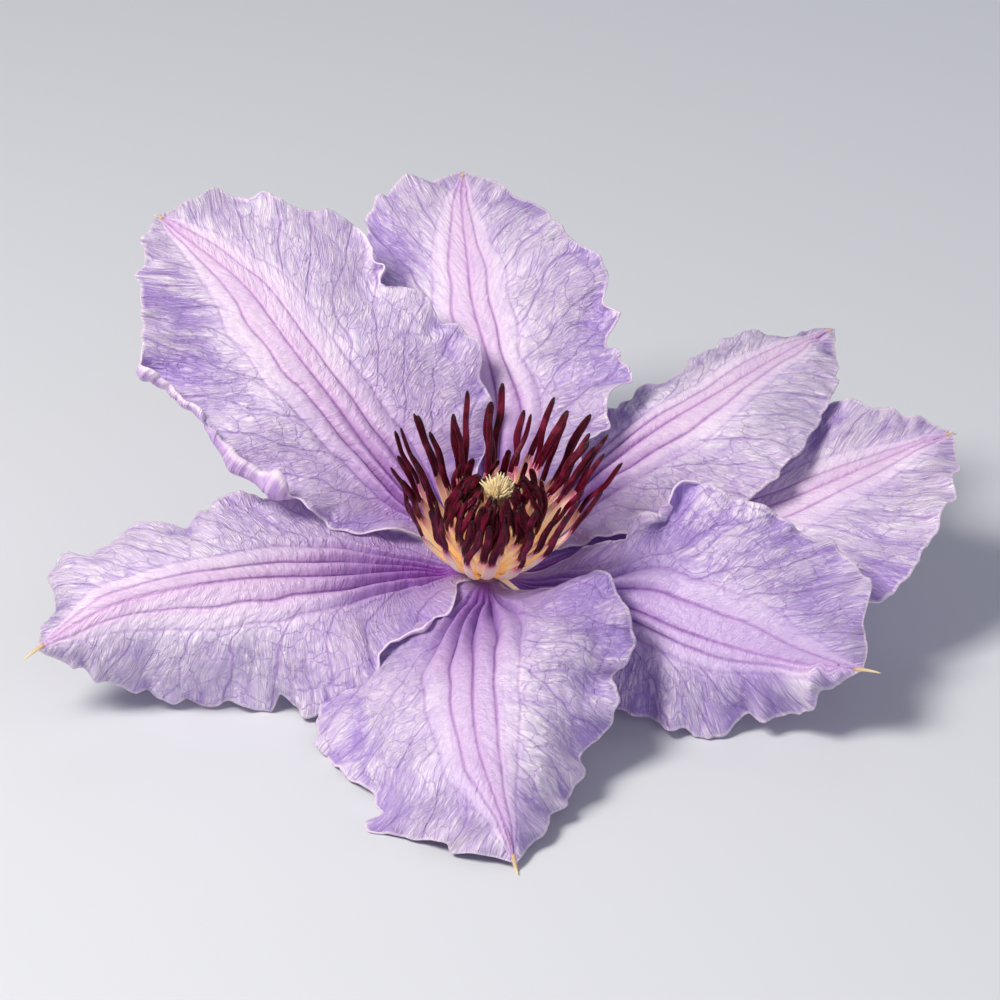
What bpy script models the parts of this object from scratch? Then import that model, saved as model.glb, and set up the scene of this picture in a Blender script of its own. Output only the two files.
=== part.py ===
"""A wide-open clematis flower on a short cut stem, lying on a flat surface at z = 0. Metres, +Z up.

The flower is laid out in its own frame first: its origin is where the sepals meet the receptacle,
and its axis is +Z. Each sepal has a frame of its own inside that: out along its azimuth, side
counter-clockwise, and up along the flower's axis. At the end everything leans over by LEAN.
"""
import math
import random

import bmesh
import bpy
import numpy as np

MM = 0.001
LEAN = math.radians(14.0)        # the flower's axis tips this far towards -Y
ORIGIN_HEIGHT = 16.4             # mm from the surface up to where the sepals meet
ORIGIN_X = -2.8                  # mm, so that the row's origin is under the middle of its box
ORIGIN_Y = -4.7
SEPAL_THICK = 0.5                # mm
CLAW_RADIUS = 4.3                # mm from the axis to the foot of each sepal
CLAW_HALF_WIDTH = 1.6            # mm
SEPAL_ROWS = 20                  # steps from claw to tip
SEPAL_COLUMNS = 10               # steps from margin to margin
STEM_RADIUS = 1.4                # mm
STEM_BEND = 15.0                 # mm, radius of the bend just under the flower
STEM_LYING = 48.0                # mm of straight stem after the bend
STAMENS_PER_WHORL = 16
STAMEN_SEED = 7
STAMEN_SIDES = 6                 # sides of the tube that each stamen is
ROUND_SIDES = 12                 # sides of the stalk and of the tuft of styles
SAME_POINT = 1e-6                # metres within which two points are one

# Plain colours, as linear red, green and blue.
SEPAL_LILAC = (0.56, 0.42, 0.78)
ANTHER_MAROON = (0.07, 0.01, 0.025)
STALK_GREEN = (0.16, 0.22, 0.07)
STYLE_STRAW = (0.75, 0.62, 0.32)
SKIN_ROUGHNESS = 0.55

# azimuth: where the blade points, degrees. claw: where its foot sits on the receptacle, and how high up.
# Rails run from claw to tip as (out, side, up) in mm; the foot and the tip are added by the code.
# ruffle: height of the small waves along the margins in mm, and how many of them.
SEPALS = {
    "sepal_1": {
        "azimuth": 135, "claw": (141, 0.6), "tip": (72, 0, 27), "ruffle": (0.5, 5),
        "middle": [(9, 0, 2.2), (14, 0.5, 3.8), (26, 0, 8.5), (38, 0, 16), (52, -1, 22.5), (64, 0, 26)],
        "left": [(8, 3.5, 2.2), (12, 7, 3.4), (16, 11, 4.8), (22, 16, 7.3), (32, 21, 10), (40, 21, 13.5),
                 (48, 20, 17), (54, 21, 20), (57, 18, 21.5), (62, 12, 25), (69, 5, 26.5)],
        "right": [(8, -4.5, 2.4), (12, -10, 4.5), (19, -20, 9.5), (27, -24, 14), (35, -23, 17), (43, -21, 18),
                  (51, -23, 21), (57, -22, 24), (61, -16, 25.5), (68, -12, 26.5), (70, -5, 27)],
    },
    "sepal_2": {
        "azimuth": 90, "claw": (91, 0), "tip": (74, 4, 17.5), "ruffle": (0.5, 5),
        "middle": [(9, 0, 1), (18, -1.5, 2.5), (29, -2, 4.5), (36, -1, 7.5), (47, 2, 12), (54, 3, 14.5),
                   (64, 4, 16.5)],
        "left": [(8, 3.5, 0.3), (18, 10, 1.5), (30, 16, 4), (44, 20, 8), (54, 20, 12), (61, 19, 15),
                 (66, 18, 17), (71, 14, 18), (71, 8, 17.5)],
        "right": [(8, -3.5, 1.5), (12, -8.5, 4), (17.5, -15.5, 7), (28, -20.5, 9.5), (35, -22, 10),
                  (41, -19, 10.5), (46, -21, 12), (50, -18, 13.5), (55, -17, 15.5), (61, -11, 16.5),
                  (66, -8, 17), (71, -1, 17.5)],
    },
    "sepal_3": {
        "azimuth": 44, "claw": (44, -0.2), "tip": (76, 0, 2.5), "ruffle": (0.5, 4),
        "middle": [(9, 0, 0.4), (16, 1, 1.2), (26, 2, 2.8), (37, 0.5, 5.5), (49, -1, 6.5), (64, -1, 5.5)],
        "left": [(8, 3, 0.1), (18, 8, 0.6), (35, 12.5, 0.5), (45, 13, 0.3), (54, 12, -0.5), (63, 12, -0.5),
                 (72, 6, 0.5)],
        "right": [(8, -3.5, 0.5), (15, -8.5, 1.2), (27, -16, 2), (40, -19, 3), (48, -18, 4), (56, -15, 4),
                  (65, -10, 3.5), (72, -4, 3)],
    },
    "sepal_4": {
        "azimuth": 19, "claw": (-2, -0.4), "tip": (76, 1, 4.5), "ruffle": (0.5, 4),
        "middle": [(9, -2, -0.8), (24, -1, -1.4), (39, 0, -1.5), (53, 0, 0.5), (69, 1, 3.5)],
        "left": [(9, 1, -0.8), (25, 8.5, -1.6), (44, 16, -0.5), (58, 18, 1.5), (65, 14, 3.5), (72, 6, 4.5)],
        "right": [(8, -5, -1), (21, -13, -2.2), (35, -22, -2.5), (47, -26, -2), (56, -23, -1), (62, -19, 0.5),
                  (69, -14, 2), (74, -5, 3.5)],
    },
    "sepal_5": {
        "azimuth": -25, "claw": (-46, 0), "tip": (60, 1, 2.5), "ruffle": (0.6, 4),
        "middle": [(9, -1, 0.2), (15, 0, 0.8), (24, 0, 1), (33, -1, 1), (42, -1, 0.8), (52, 0, 1)],
        "left": [(8, 2, 0.8), (13, 7.5, 2.3), (19, 10, 4.5), (21, 15, 8), (24, 20, 9.5), (31, 23, 9),
                 (39, 23, 8.5), (46, 24, 6.5), (53, 19, 3.5), (57, 12, 2.5), (59, 6, 2.5)],
        "right": [(8, -4.5, -1.2), (13, -6, -3), (19, -7, -6), (26, -10, -9.4), (33, -11, -10.3),
                  (39, -9, -10.2), (45, -6, -8), (50, -3, -5.5), (56, 0, -1)],
    },
    "sepal_6": {
        "azimuth": -90, "claw": (-92, 0), "tip": (60, 4, -0.8), "ruffle": (0.5, 5),
        "middle": [(8, -0.5, 1), (16, -2, 3.2), (26, -2, 5.5), (35, -2, 6.5), (43, -1, 6), (50, 1, 4),
                   (56, 3, 1.5)],
        "left": [(6, 3.5, 1.2), (8, 8, 3), (7, 13, 4.5), (7.5, 18, 6.3), (14, 21, 6.5), (21, 22, 4.5),
                 (26, 19, 2.5), (32, 18.5, 1), (39, 15, -0.5), (46, 12, -1.5), (53, 8, -1.5)],
        "right": [(6, -4.5, -0.2), (8, -9, -1.6), (10.5, -14, -4.2), (13.5, -18.5, -7.3), (18, -23, -9.5),
                  (23, -25, -9.8), (29, -23.5, -8.8), (36, -21, -7.3), (43, -17, -5.5), (51, -16, -3.4),
                  (53, -10, -3), (57, -2, -1.2)],
    },
    "sepal_7": {
        "azimuth": 195, "claw": (200, 0.3), "tip": (68.5, 0.3, 0.5), "ruffle": (0.5, 5),
        "middle": [(9, -1, 1), (20, -1, 3), (30, -0.5, 5), (40, 0, 7), (48, 0, 7.5), (58, 0, 6)],
        "left": [(6.2, 3, 1.3), (7, 6.9, 2), (9, 9, 2.1), (10.8, 11, 2), (14, 12, 1), (19, 13, -0.5),
                 (21.5, 16.5, -2), (24.5, 17, -4), (27, 15.5, -7), (30, 13, -10), (35, 8, -11.3),
                 (41, 7, -11.9), (47, 6, -11.7), (53, 4, -10), (60, 1.5, -5), (66, 1, -1.5)],
        "right": [(8, -4, 0.6), (13, -10, 1.4), (20, -17, 2.4), (28, -20, 4), (34, -19, 5.5), (41, -15, 6.5),
                  (50, -14, 6.3), (57, -12, 5), (62, -12.5, 4.5), (64, -8, 3), (67, -4, 1.5)],
    },
}

# Side views of one stamen in each whorl, from its foot to its tip, as (distance from axis, up) in mm: at the
# back and the sides, and at the front (-Y), where the boss stands more upright.
WHORLS = [
    [(3.5, 1.3), (7.5, 4.6), (11.5, 10.0), (14.2, 15.5), (17.3, 21.5)],
    [(3.2, 2.4), (5.9, 6.3), (8.6, 11.2), (10.8, 16.0), (13.4, 20.8)],
    [(2.9, 3.5), (4.9, 6.6), (6.5, 10.0), (7.0, 13.6), (6.2, 17.4)],
]
FRONT_WHORLS = [
    [(3.5, 1.3), (7.2, 4.2), (9.8, 8.2), (10.6, 12.2), (10.9, 16.4)],
    [(3.2, 2.4), (5.6, 5.6), (7.9, 9.6), (8.5, 13.4), (8.2, 17.0)],
    [(2.9, 3.5), (4.9, 6.6), (6.4, 10.0), (6.7, 13.4), (5.6, 16.6)],
]
INNER_WHORL = [(2.1, 5.4), (3.0, 8.2), (4.0, 11.4), (4.3, 14.4), (3.5, 17.0)]
INNER_COUNT = 14
RING_THICK = 0.64                # the ring that the inner stamens grow on
BOSS_LEAN = 0.12                 # the boss leans towards +X by this much per mm above its foot
BOSS_FOOT = 2.0

# (width, depth) of a stamen at even steps from foot to tip: the flat filament, then the anther.
STAMEN_SIZES = [
    (0.65, 0.5), (1.3, 0.5), (1.5, 0.5), (1.5, 0.5), (1.3, 0.6),
    (1.1, 0.9), (1.1, 0.9), (1.1, 0.9), (0.9, 0.8), (0.4, 0.4),
]
STAMEN_GAP = 0.5                 # left free between neighbours in a whorl

# The tuft of styles with the ovaries below it, as (up, width).
STYLES = [(5.0, 2.2), (6.5, 2.6), (10.0, 2.2), (13.5, 2.6), (16.0, 4.0), (17.4, 4.6), (18.0, 3.0)]

# The receptacle that ends the stalk, as (up, width), from its top down to the neck.
RECEPTACLE = [
    (4.6, 1.4), (4.3, 2.6), (3.2, 4.0), (2.0, 4.8), (0.9, 5.8),
    (0.4, 7.6), (-0.6, 7.6), (-1.6, 5.2), (-2.6, 3.2),
]


def rail(points, count):
    """count + 1 points at equal steps along a smooth curve through the given points."""
    points = np.array(points, float)
    ends = np.vstack([2 * points[0] - points[1], points, 2 * points[-1] - points[-2]])
    dense = []
    for a, b, c, d in zip(ends, ends[1:], ends[2:], ends[3:]):
        for step in range(10):
            t = step / 10
            dense.append(0.5 * (2 * b + (c - a) * t + (2 * a - 5 * b + 4 * c - d) * t * t
                                + (3 * b - a - 3 * c + d) * t ** 3))
    dense = np.array(dense + [points[-1]])
    length = np.concatenate([[0], np.cumsum(np.linalg.norm(np.diff(dense, axis=0), axis=1))])
    at = np.linspace(0, length[-1], count + 1)
    return np.stack([np.interp(at, length, dense[:, axis]) for axis in range(3)], axis=1)


def to_row(point):
    """A point of the flower's own frame in mm, placed in the row's frame in metres."""
    x, y, z = point
    return ((ORIGIN_X + x) * MM,
            (ORIGIN_Y + y * math.cos(LEAN) - z * math.sin(LEAN)) * MM,
            (ORIGIN_HEIGHT + y * math.sin(LEAN) + z * math.cos(LEAN)) * MM)


def sepal_grid(spec):
    """The middle surface of a sepal as rows x columns of points in its own frame, in mm."""
    claw, up = spec["claw"]
    turn = math.radians(claw - spec["azimuth"])
    foot = np.array([CLAW_RADIUS * math.cos(turn), CLAW_RADIUS * math.sin(turn), up])
    across = np.array([-math.sin(turn), math.cos(turn), 0]) * CLAW_HALF_WIDTH
    tip = np.array(spec["tip"], float)
    middle = rail([foot, *spec["middle"], tip], SEPAL_ROWS)
    left = rail([foot + across, *spec["left"], tip + (0, 0.5, 0)], SEPAL_ROWS)
    right = rail([foot - across, *spec["right"], tip - (0, 0.5, 0)], SEPAL_ROWS)
    height, waves = spec["ruffle"]
    rows = []
    for row in range(SEPAL_ROWS + 1):
        m, l, r = middle[row], left[row], right[row]
        level = (l - r) / np.linalg.norm(l - r)
        points = []
        for column in range(SEPAL_COLUMNS + 1):
            t = 2 * column / SEPAL_COLUMNS - 1
            edge = l if t > 0 else r
            start = level * np.linalg.norm(edge - m) * 0.8 * (1 if t > 0 else -1)
            point = m + start * abs(t) + (edge - m - start) * t * t
            share = row / SEPAL_ROWS
            wave = math.sin(2 * math.pi * waves * share + (2 if t > 0 else 0)) * math.sin(math.pi * share)
            point[2] += height * wave * abs(t) ** 3
            points.append(point)
        rows.append(points)
    return np.array(rows)


def mesh_object(name, points, faces, colour):
    """An object in the scene from points already in the row's frame, with its own material."""
    mesh = bpy.data.meshes.new(name)
    mesh.from_pydata([tuple(p) for p in points], [], faces)
    shape = bmesh.new()
    shape.from_mesh(mesh)
    bmesh.ops.remove_doubles(shape, verts=shape.verts, dist=SAME_POINT)
    bmesh.ops.recalc_face_normals(shape, faces=shape.faces)
    shape.to_mesh(mesh)
    shape.free()
    obj = bpy.data.objects.new(name, mesh)
    bpy.context.scene.collection.objects.link(obj)
    paint(obj, colour)
    return obj


def paint(obj, colour):
    """Gives the object a material of its own in this colour."""
    material = bpy.data.materials.new(obj.name)
    material.use_nodes = True
    shader = material.node_tree.nodes["Principled BSDF"]
    shader.inputs["Base Color"].default_value = (*colour, 1)
    shader.inputs["Roughness"].default_value = SKIN_ROUGHNESS
    obj.data.materials.append(material)


def sheet(name, grid, thick, place, colour):
    """A closed sheet of even thickness around a grid of points."""
    along = np.gradient(grid, axis=0)
    over = np.gradient(grid, axis=1)
    normal = np.cross(along, over)
    normal /= np.linalg.norm(normal, axis=2)[:, :, None]
    rows, columns = grid.shape[:2]
    points = [place(p) for side in (0.5, -0.5) for p in (grid + normal * thick * side).reshape(-1, 3)]
    half = rows * columns
    faces = []
    for r in range(rows - 1):
        for c in range(columns - 1):
            a = r * columns + c
            faces.append((a, a + 1, a + columns + 1, a + columns))
            faces.append((half + a, half + a + columns, half + a + columns + 1, half + a + 1))
    border = [(0, c) for c in range(columns)] + [(r, columns - 1) for r in range(1, rows)]
    border += [(rows - 1, c) for c in range(columns - 2, -1, -1)] + [(r, 0) for r in range(rows - 2, 0, -1)]
    border = [r * columns + c for r, c in border]
    for a, b in zip(border, border[1:] + border[:1]):
        faces.append((a, b, half + b, half + a))
    return mesh_object(name, points, faces, colour)


def swept(name, path, sizes, sides, place, colour, wide=(0, 0, 1)):
    """A closed tube along a path, with an oval (width, depth) at each point and its width along wide."""
    path = np.array(path, float)
    heading = np.gradient(path, axis=0)
    points, faces = [], []
    for centre, ahead, (width, depth) in zip(path, heading, sizes):
        ahead = ahead / np.linalg.norm(ahead)
        across = np.array(wide) - ahead * np.dot(ahead, wide)
        across /= np.linalg.norm(across)
        deep = np.cross(ahead, across)
        for k in range(sides):
            angle = 2 * math.pi * k / sides
            offset = across * math.cos(angle) * width / 2 + deep * math.sin(angle) * depth / 2
            points.append(place(centre + offset))
    for ring in range(len(path) - 1):
        for k in range(sides):
            a, b = ring * sides + k, ring * sides + (k + 1) % sides
            faces.append((a, b, b + sides, a + sides))
    faces.append(tuple(range(sides)))
    faces.append(tuple(range(len(points) - sides, len(points))))
    return mesh_object(name, points, faces, colour)


def leaning(points):
    """Points of the boss, moved over by its lean."""
    points = np.array(points, float)
    points[:, 0] += BOSS_LEAN * np.maximum(points[:, 2] - BOSS_FOOT, 0)
    return points


def whorl_profile(whorl, azimuth):
    """The side view of a stamen of this whorl that grows in this direction."""
    front = max(0.0, -math.sin(azimuth)) ** 1.5
    return [(r + (front_r - r) * front, z + (front_z - z) * front)
            for (r, z), (front_r, front_z) in zip(WHORLS[whorl], FRONT_WHORLS[whorl])]


def stamen(name, profile, azimuth, reach, height, twist):
    """A stamen: a flat filament, then a narrower, deeper anther from about its middle to its tip."""
    radial = [(profile[0][0] + (r - profile[0][0]) * reach, 0, profile[0][1] + (z - profile[0][1]) * height)
              for r, z in profile]
    steps = len(STAMEN_SIZES) - 1
    path = rail(radial, steps)
    share = np.linspace(0, 1, steps + 1)
    angle = azimuth + twist * share ** 2
    points = leaning(np.stack([path[:, 0] * np.cos(angle), path[:, 0] * np.sin(angle), path[:, 2]], axis=1))
    room = 2 * math.pi * path[:, 0] / STAMENS_PER_WHORL - STAMEN_GAP
    sizes = [(min(width, free), depth) for (width, depth), free in zip(STAMEN_SIZES, room)]
    wide = (-math.sin(azimuth), math.cos(azimuth), 0)
    return swept(name, points, sizes, STAMEN_SIDES, to_row, ANTHER_MAROON, wide)


def clear():
    """Removes whatever the scene holds."""
    for obj in list(bpy.data.objects):
        bpy.data.objects.remove(obj, do_unlink=True)


def make_sepals():
    """The seven sepals, each turned to its azimuth."""
    for name, spec in SEPALS.items():
        turn = math.radians(spec["azimuth"])

        def place(p, c=math.cos(turn), s=math.sin(turn)):
            return to_row((p[0] * c - p[1] * s, p[0] * s + p[1] * c, p[2]))

        sheet(name, sepal_grid(spec), SEPAL_THICK, place, SEPAL_LILAC)


def make_stem():
    """The stalk with the receptacle as its swollen end, one grown piece down to its cut end."""
    points = [np.array(to_row((0, 0, up))) / MM for up, _ in RECEPTACLE]
    widths = [width for _, width in RECEPTACLE]
    down = math.pi / 2 - LEAN
    start = points[-1]
    for k in range(1, 9):
        angle = down * k / 8
        drop = STEM_BEND * (math.sin(math.pi / 2 - down + angle) - math.sin(math.pi / 2 - down))
        back = STEM_BEND * (math.cos(math.pi / 2 - down) - math.cos(math.pi / 2 - down + angle))
        points.append(start + (0, back, -drop))
        widths.append(2 * STEM_RADIUS)
    points[-1][2] = STEM_RADIUS
    end = points[-1]
    for k in range(1, 5):
        points.append(end + (0, STEM_LYING * k / 4, 0))
        widths.append(2 * STEM_RADIUS)
    sizes = [(width, width) for width in widths]
    swept("stem", points, sizes, ROUND_SIDES, lambda point: point * MM, STALK_GREEN, wide=(1, 0, 0))


def make_pistils():
    """The styles with the ovaries below them, a brush that widens towards its top."""
    points = leaning([(0, 0, up) for up, _ in STYLES])
    swept("pistils", points, [(w, w) for _, w in STYLES], ROUND_SIDES, to_row, STYLE_STRAW, wide=(1, 0, 0))


def make_stamens():
    """The 48 long stamens, in three whorls that stand apart."""
    rng = random.Random(STAMEN_SEED)
    number = 0
    for whorl in range(len(WHORLS)):
        for k in range(STAMENS_PER_WHORL):
            number += 1
            azimuth = 2 * math.pi * (k + whorl / 3) / STAMENS_PER_WHORL + rng.uniform(-0.02, 0.02)
            towards_right = 0.10 * max(0, math.cos(azimuth))
            reach = 1 + towards_right + rng.uniform(-0.06, 0.06)
            height = 1 + rng.uniform(-0.10, 0.06)
            stamen(f"stamen_{number:02d}", whorl_profile(whorl, azimuth), azimuth, reach, height,
                   rng.uniform(-0.05, 0.05))


def make_inner_stamens():
    """The short stamens round the styles: separate above, joined below by the ring that they grow on."""
    radius, foot = INNER_WHORL[0]
    bpy.ops.mesh.primitive_torus_add(major_radius=radius * MM, minor_radius=RING_THICK / 2 * MM,
                                     major_segments=2 * INNER_COUNT, minor_segments=STAMEN_SIDES)
    ring = bpy.context.object
    over = BOSS_LEAN * (foot - BOSS_FOOT)
    for vertex in ring.data.vertices:
        x, y, z = vertex.co / MM
        vertex.co = to_row((x + over, y, z + foot))
    ring.name = "inner_stamens"
    paint(ring, ANTHER_MAROON)
    rng = random.Random(STAMEN_SEED + 1)
    for k in range(INNER_COUNT):
        azimuth = 2 * math.pi * (k + 0.5) / INNER_COUNT
        piece = stamen(f"inner_{k:02d}", INNER_WHORL, azimuth, 1 + rng.uniform(-0.05, 0.05),
                       1 + rng.uniform(-0.08, 0.03), 0.0)
        join = ring.modifiers.new("join", "BOOLEAN")
        join.operation = "UNION"
        join.solver = "EXACT"
        join.object = piece
        bpy.context.view_layer.objects.active = ring
        bpy.ops.object.modifier_apply(modifier="join")
        bpy.data.objects.remove(piece, do_unlink=True)


clear()
make_sepals()
make_stem()
make_pistils()
make_stamens()
make_inner_stamens()
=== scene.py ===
"""A cut clematis bloom lying on a pale surface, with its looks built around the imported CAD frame.

The flower has its own frame, as in the CAD: its origin is where the sepals meet the receptacle and
its axis is +Z, in mm. in_row() leans it over and places it in the row's frame, in metres.
"""
import math
import random

import bmesh
import bpy
import numpy as np
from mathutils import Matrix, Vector


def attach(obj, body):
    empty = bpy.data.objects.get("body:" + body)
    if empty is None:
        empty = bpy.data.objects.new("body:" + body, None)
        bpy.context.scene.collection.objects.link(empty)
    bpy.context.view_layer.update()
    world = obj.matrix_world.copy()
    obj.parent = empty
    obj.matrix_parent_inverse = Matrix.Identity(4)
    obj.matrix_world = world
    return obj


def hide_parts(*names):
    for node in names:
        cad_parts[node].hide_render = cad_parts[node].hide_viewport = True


MM = 0.001

# Place of the flower, and the shapes that it shares with its CAD solids.
LEAN = math.radians(14.0)
ORIGIN = (-2.8, -4.7, 16.4)
CLAW_RADIUS = 3.3
CLAW_HALF_WIDTH = 2.1
STEM_RADIUS = 1.4
STEM_BEND = 15.0
STEM_LYING = 48.0
STAMENS_PER_WHORL = 16
STAMEN_SEED = 7
FILAMENT_SIDES = 12
ANTHER_SIDES = 16
STYLES = 90
STYLE_SIDES = 6
SILKY_HAIRS = 420
GOLDEN_ANGLE = 2.39996           # spreads the styles evenly round their tuft
STALK_SIDES = 36
STALK_RIBS = 6
NECK_RINGS = 9                   # rings of the receptacle above the stalk's bend
BEND_STEPS = 16
LYING_STEPS = 40
DOWN_HAIRS = 900
SPINE_SIDES = 10
SPINE_LENGTHS = {"sepal_1": 0.9, "sepal_2": 0.5, "sepal_3": 0.5, "sepal_4": 0.7, "sepal_5": 2.8,
                 "sepal_6": 2.6, "sepal_7": 2.8}

# The living sheets and their relief, in mm.
SEPAL_THICK = 0.24
RESTING = 0.3                    # lowest middle surface of a sepal above the floor
SEPAL_ROWS = 236
SEPAL_COLUMNS = 150
VEIN_STEP = 0.18                 # main veins, as a share of half the blade's width
LATERAL_SPACING = 7.0            # from one side vein to the next along the blade
LATERAL_SLANT = 0.6              # share of that spacing which lies square to a side vein
CRINKLE_PITCH = 0.95             # across the fine creases that run out to the margin
PLEAT_PITCH = 2.5                # across the broader folds among them

# Camera, with the bloom seen from above its front.
CAMERA_ELEVATION = math.radians(28.0)
CAMERA_DISTANCE = 0.690
CAMERA_LENS = 165.6
AIM_RIGHT = 1.95                 # mm from the flower's origin to the middle of the view
AIM_UP = 10.2

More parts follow.
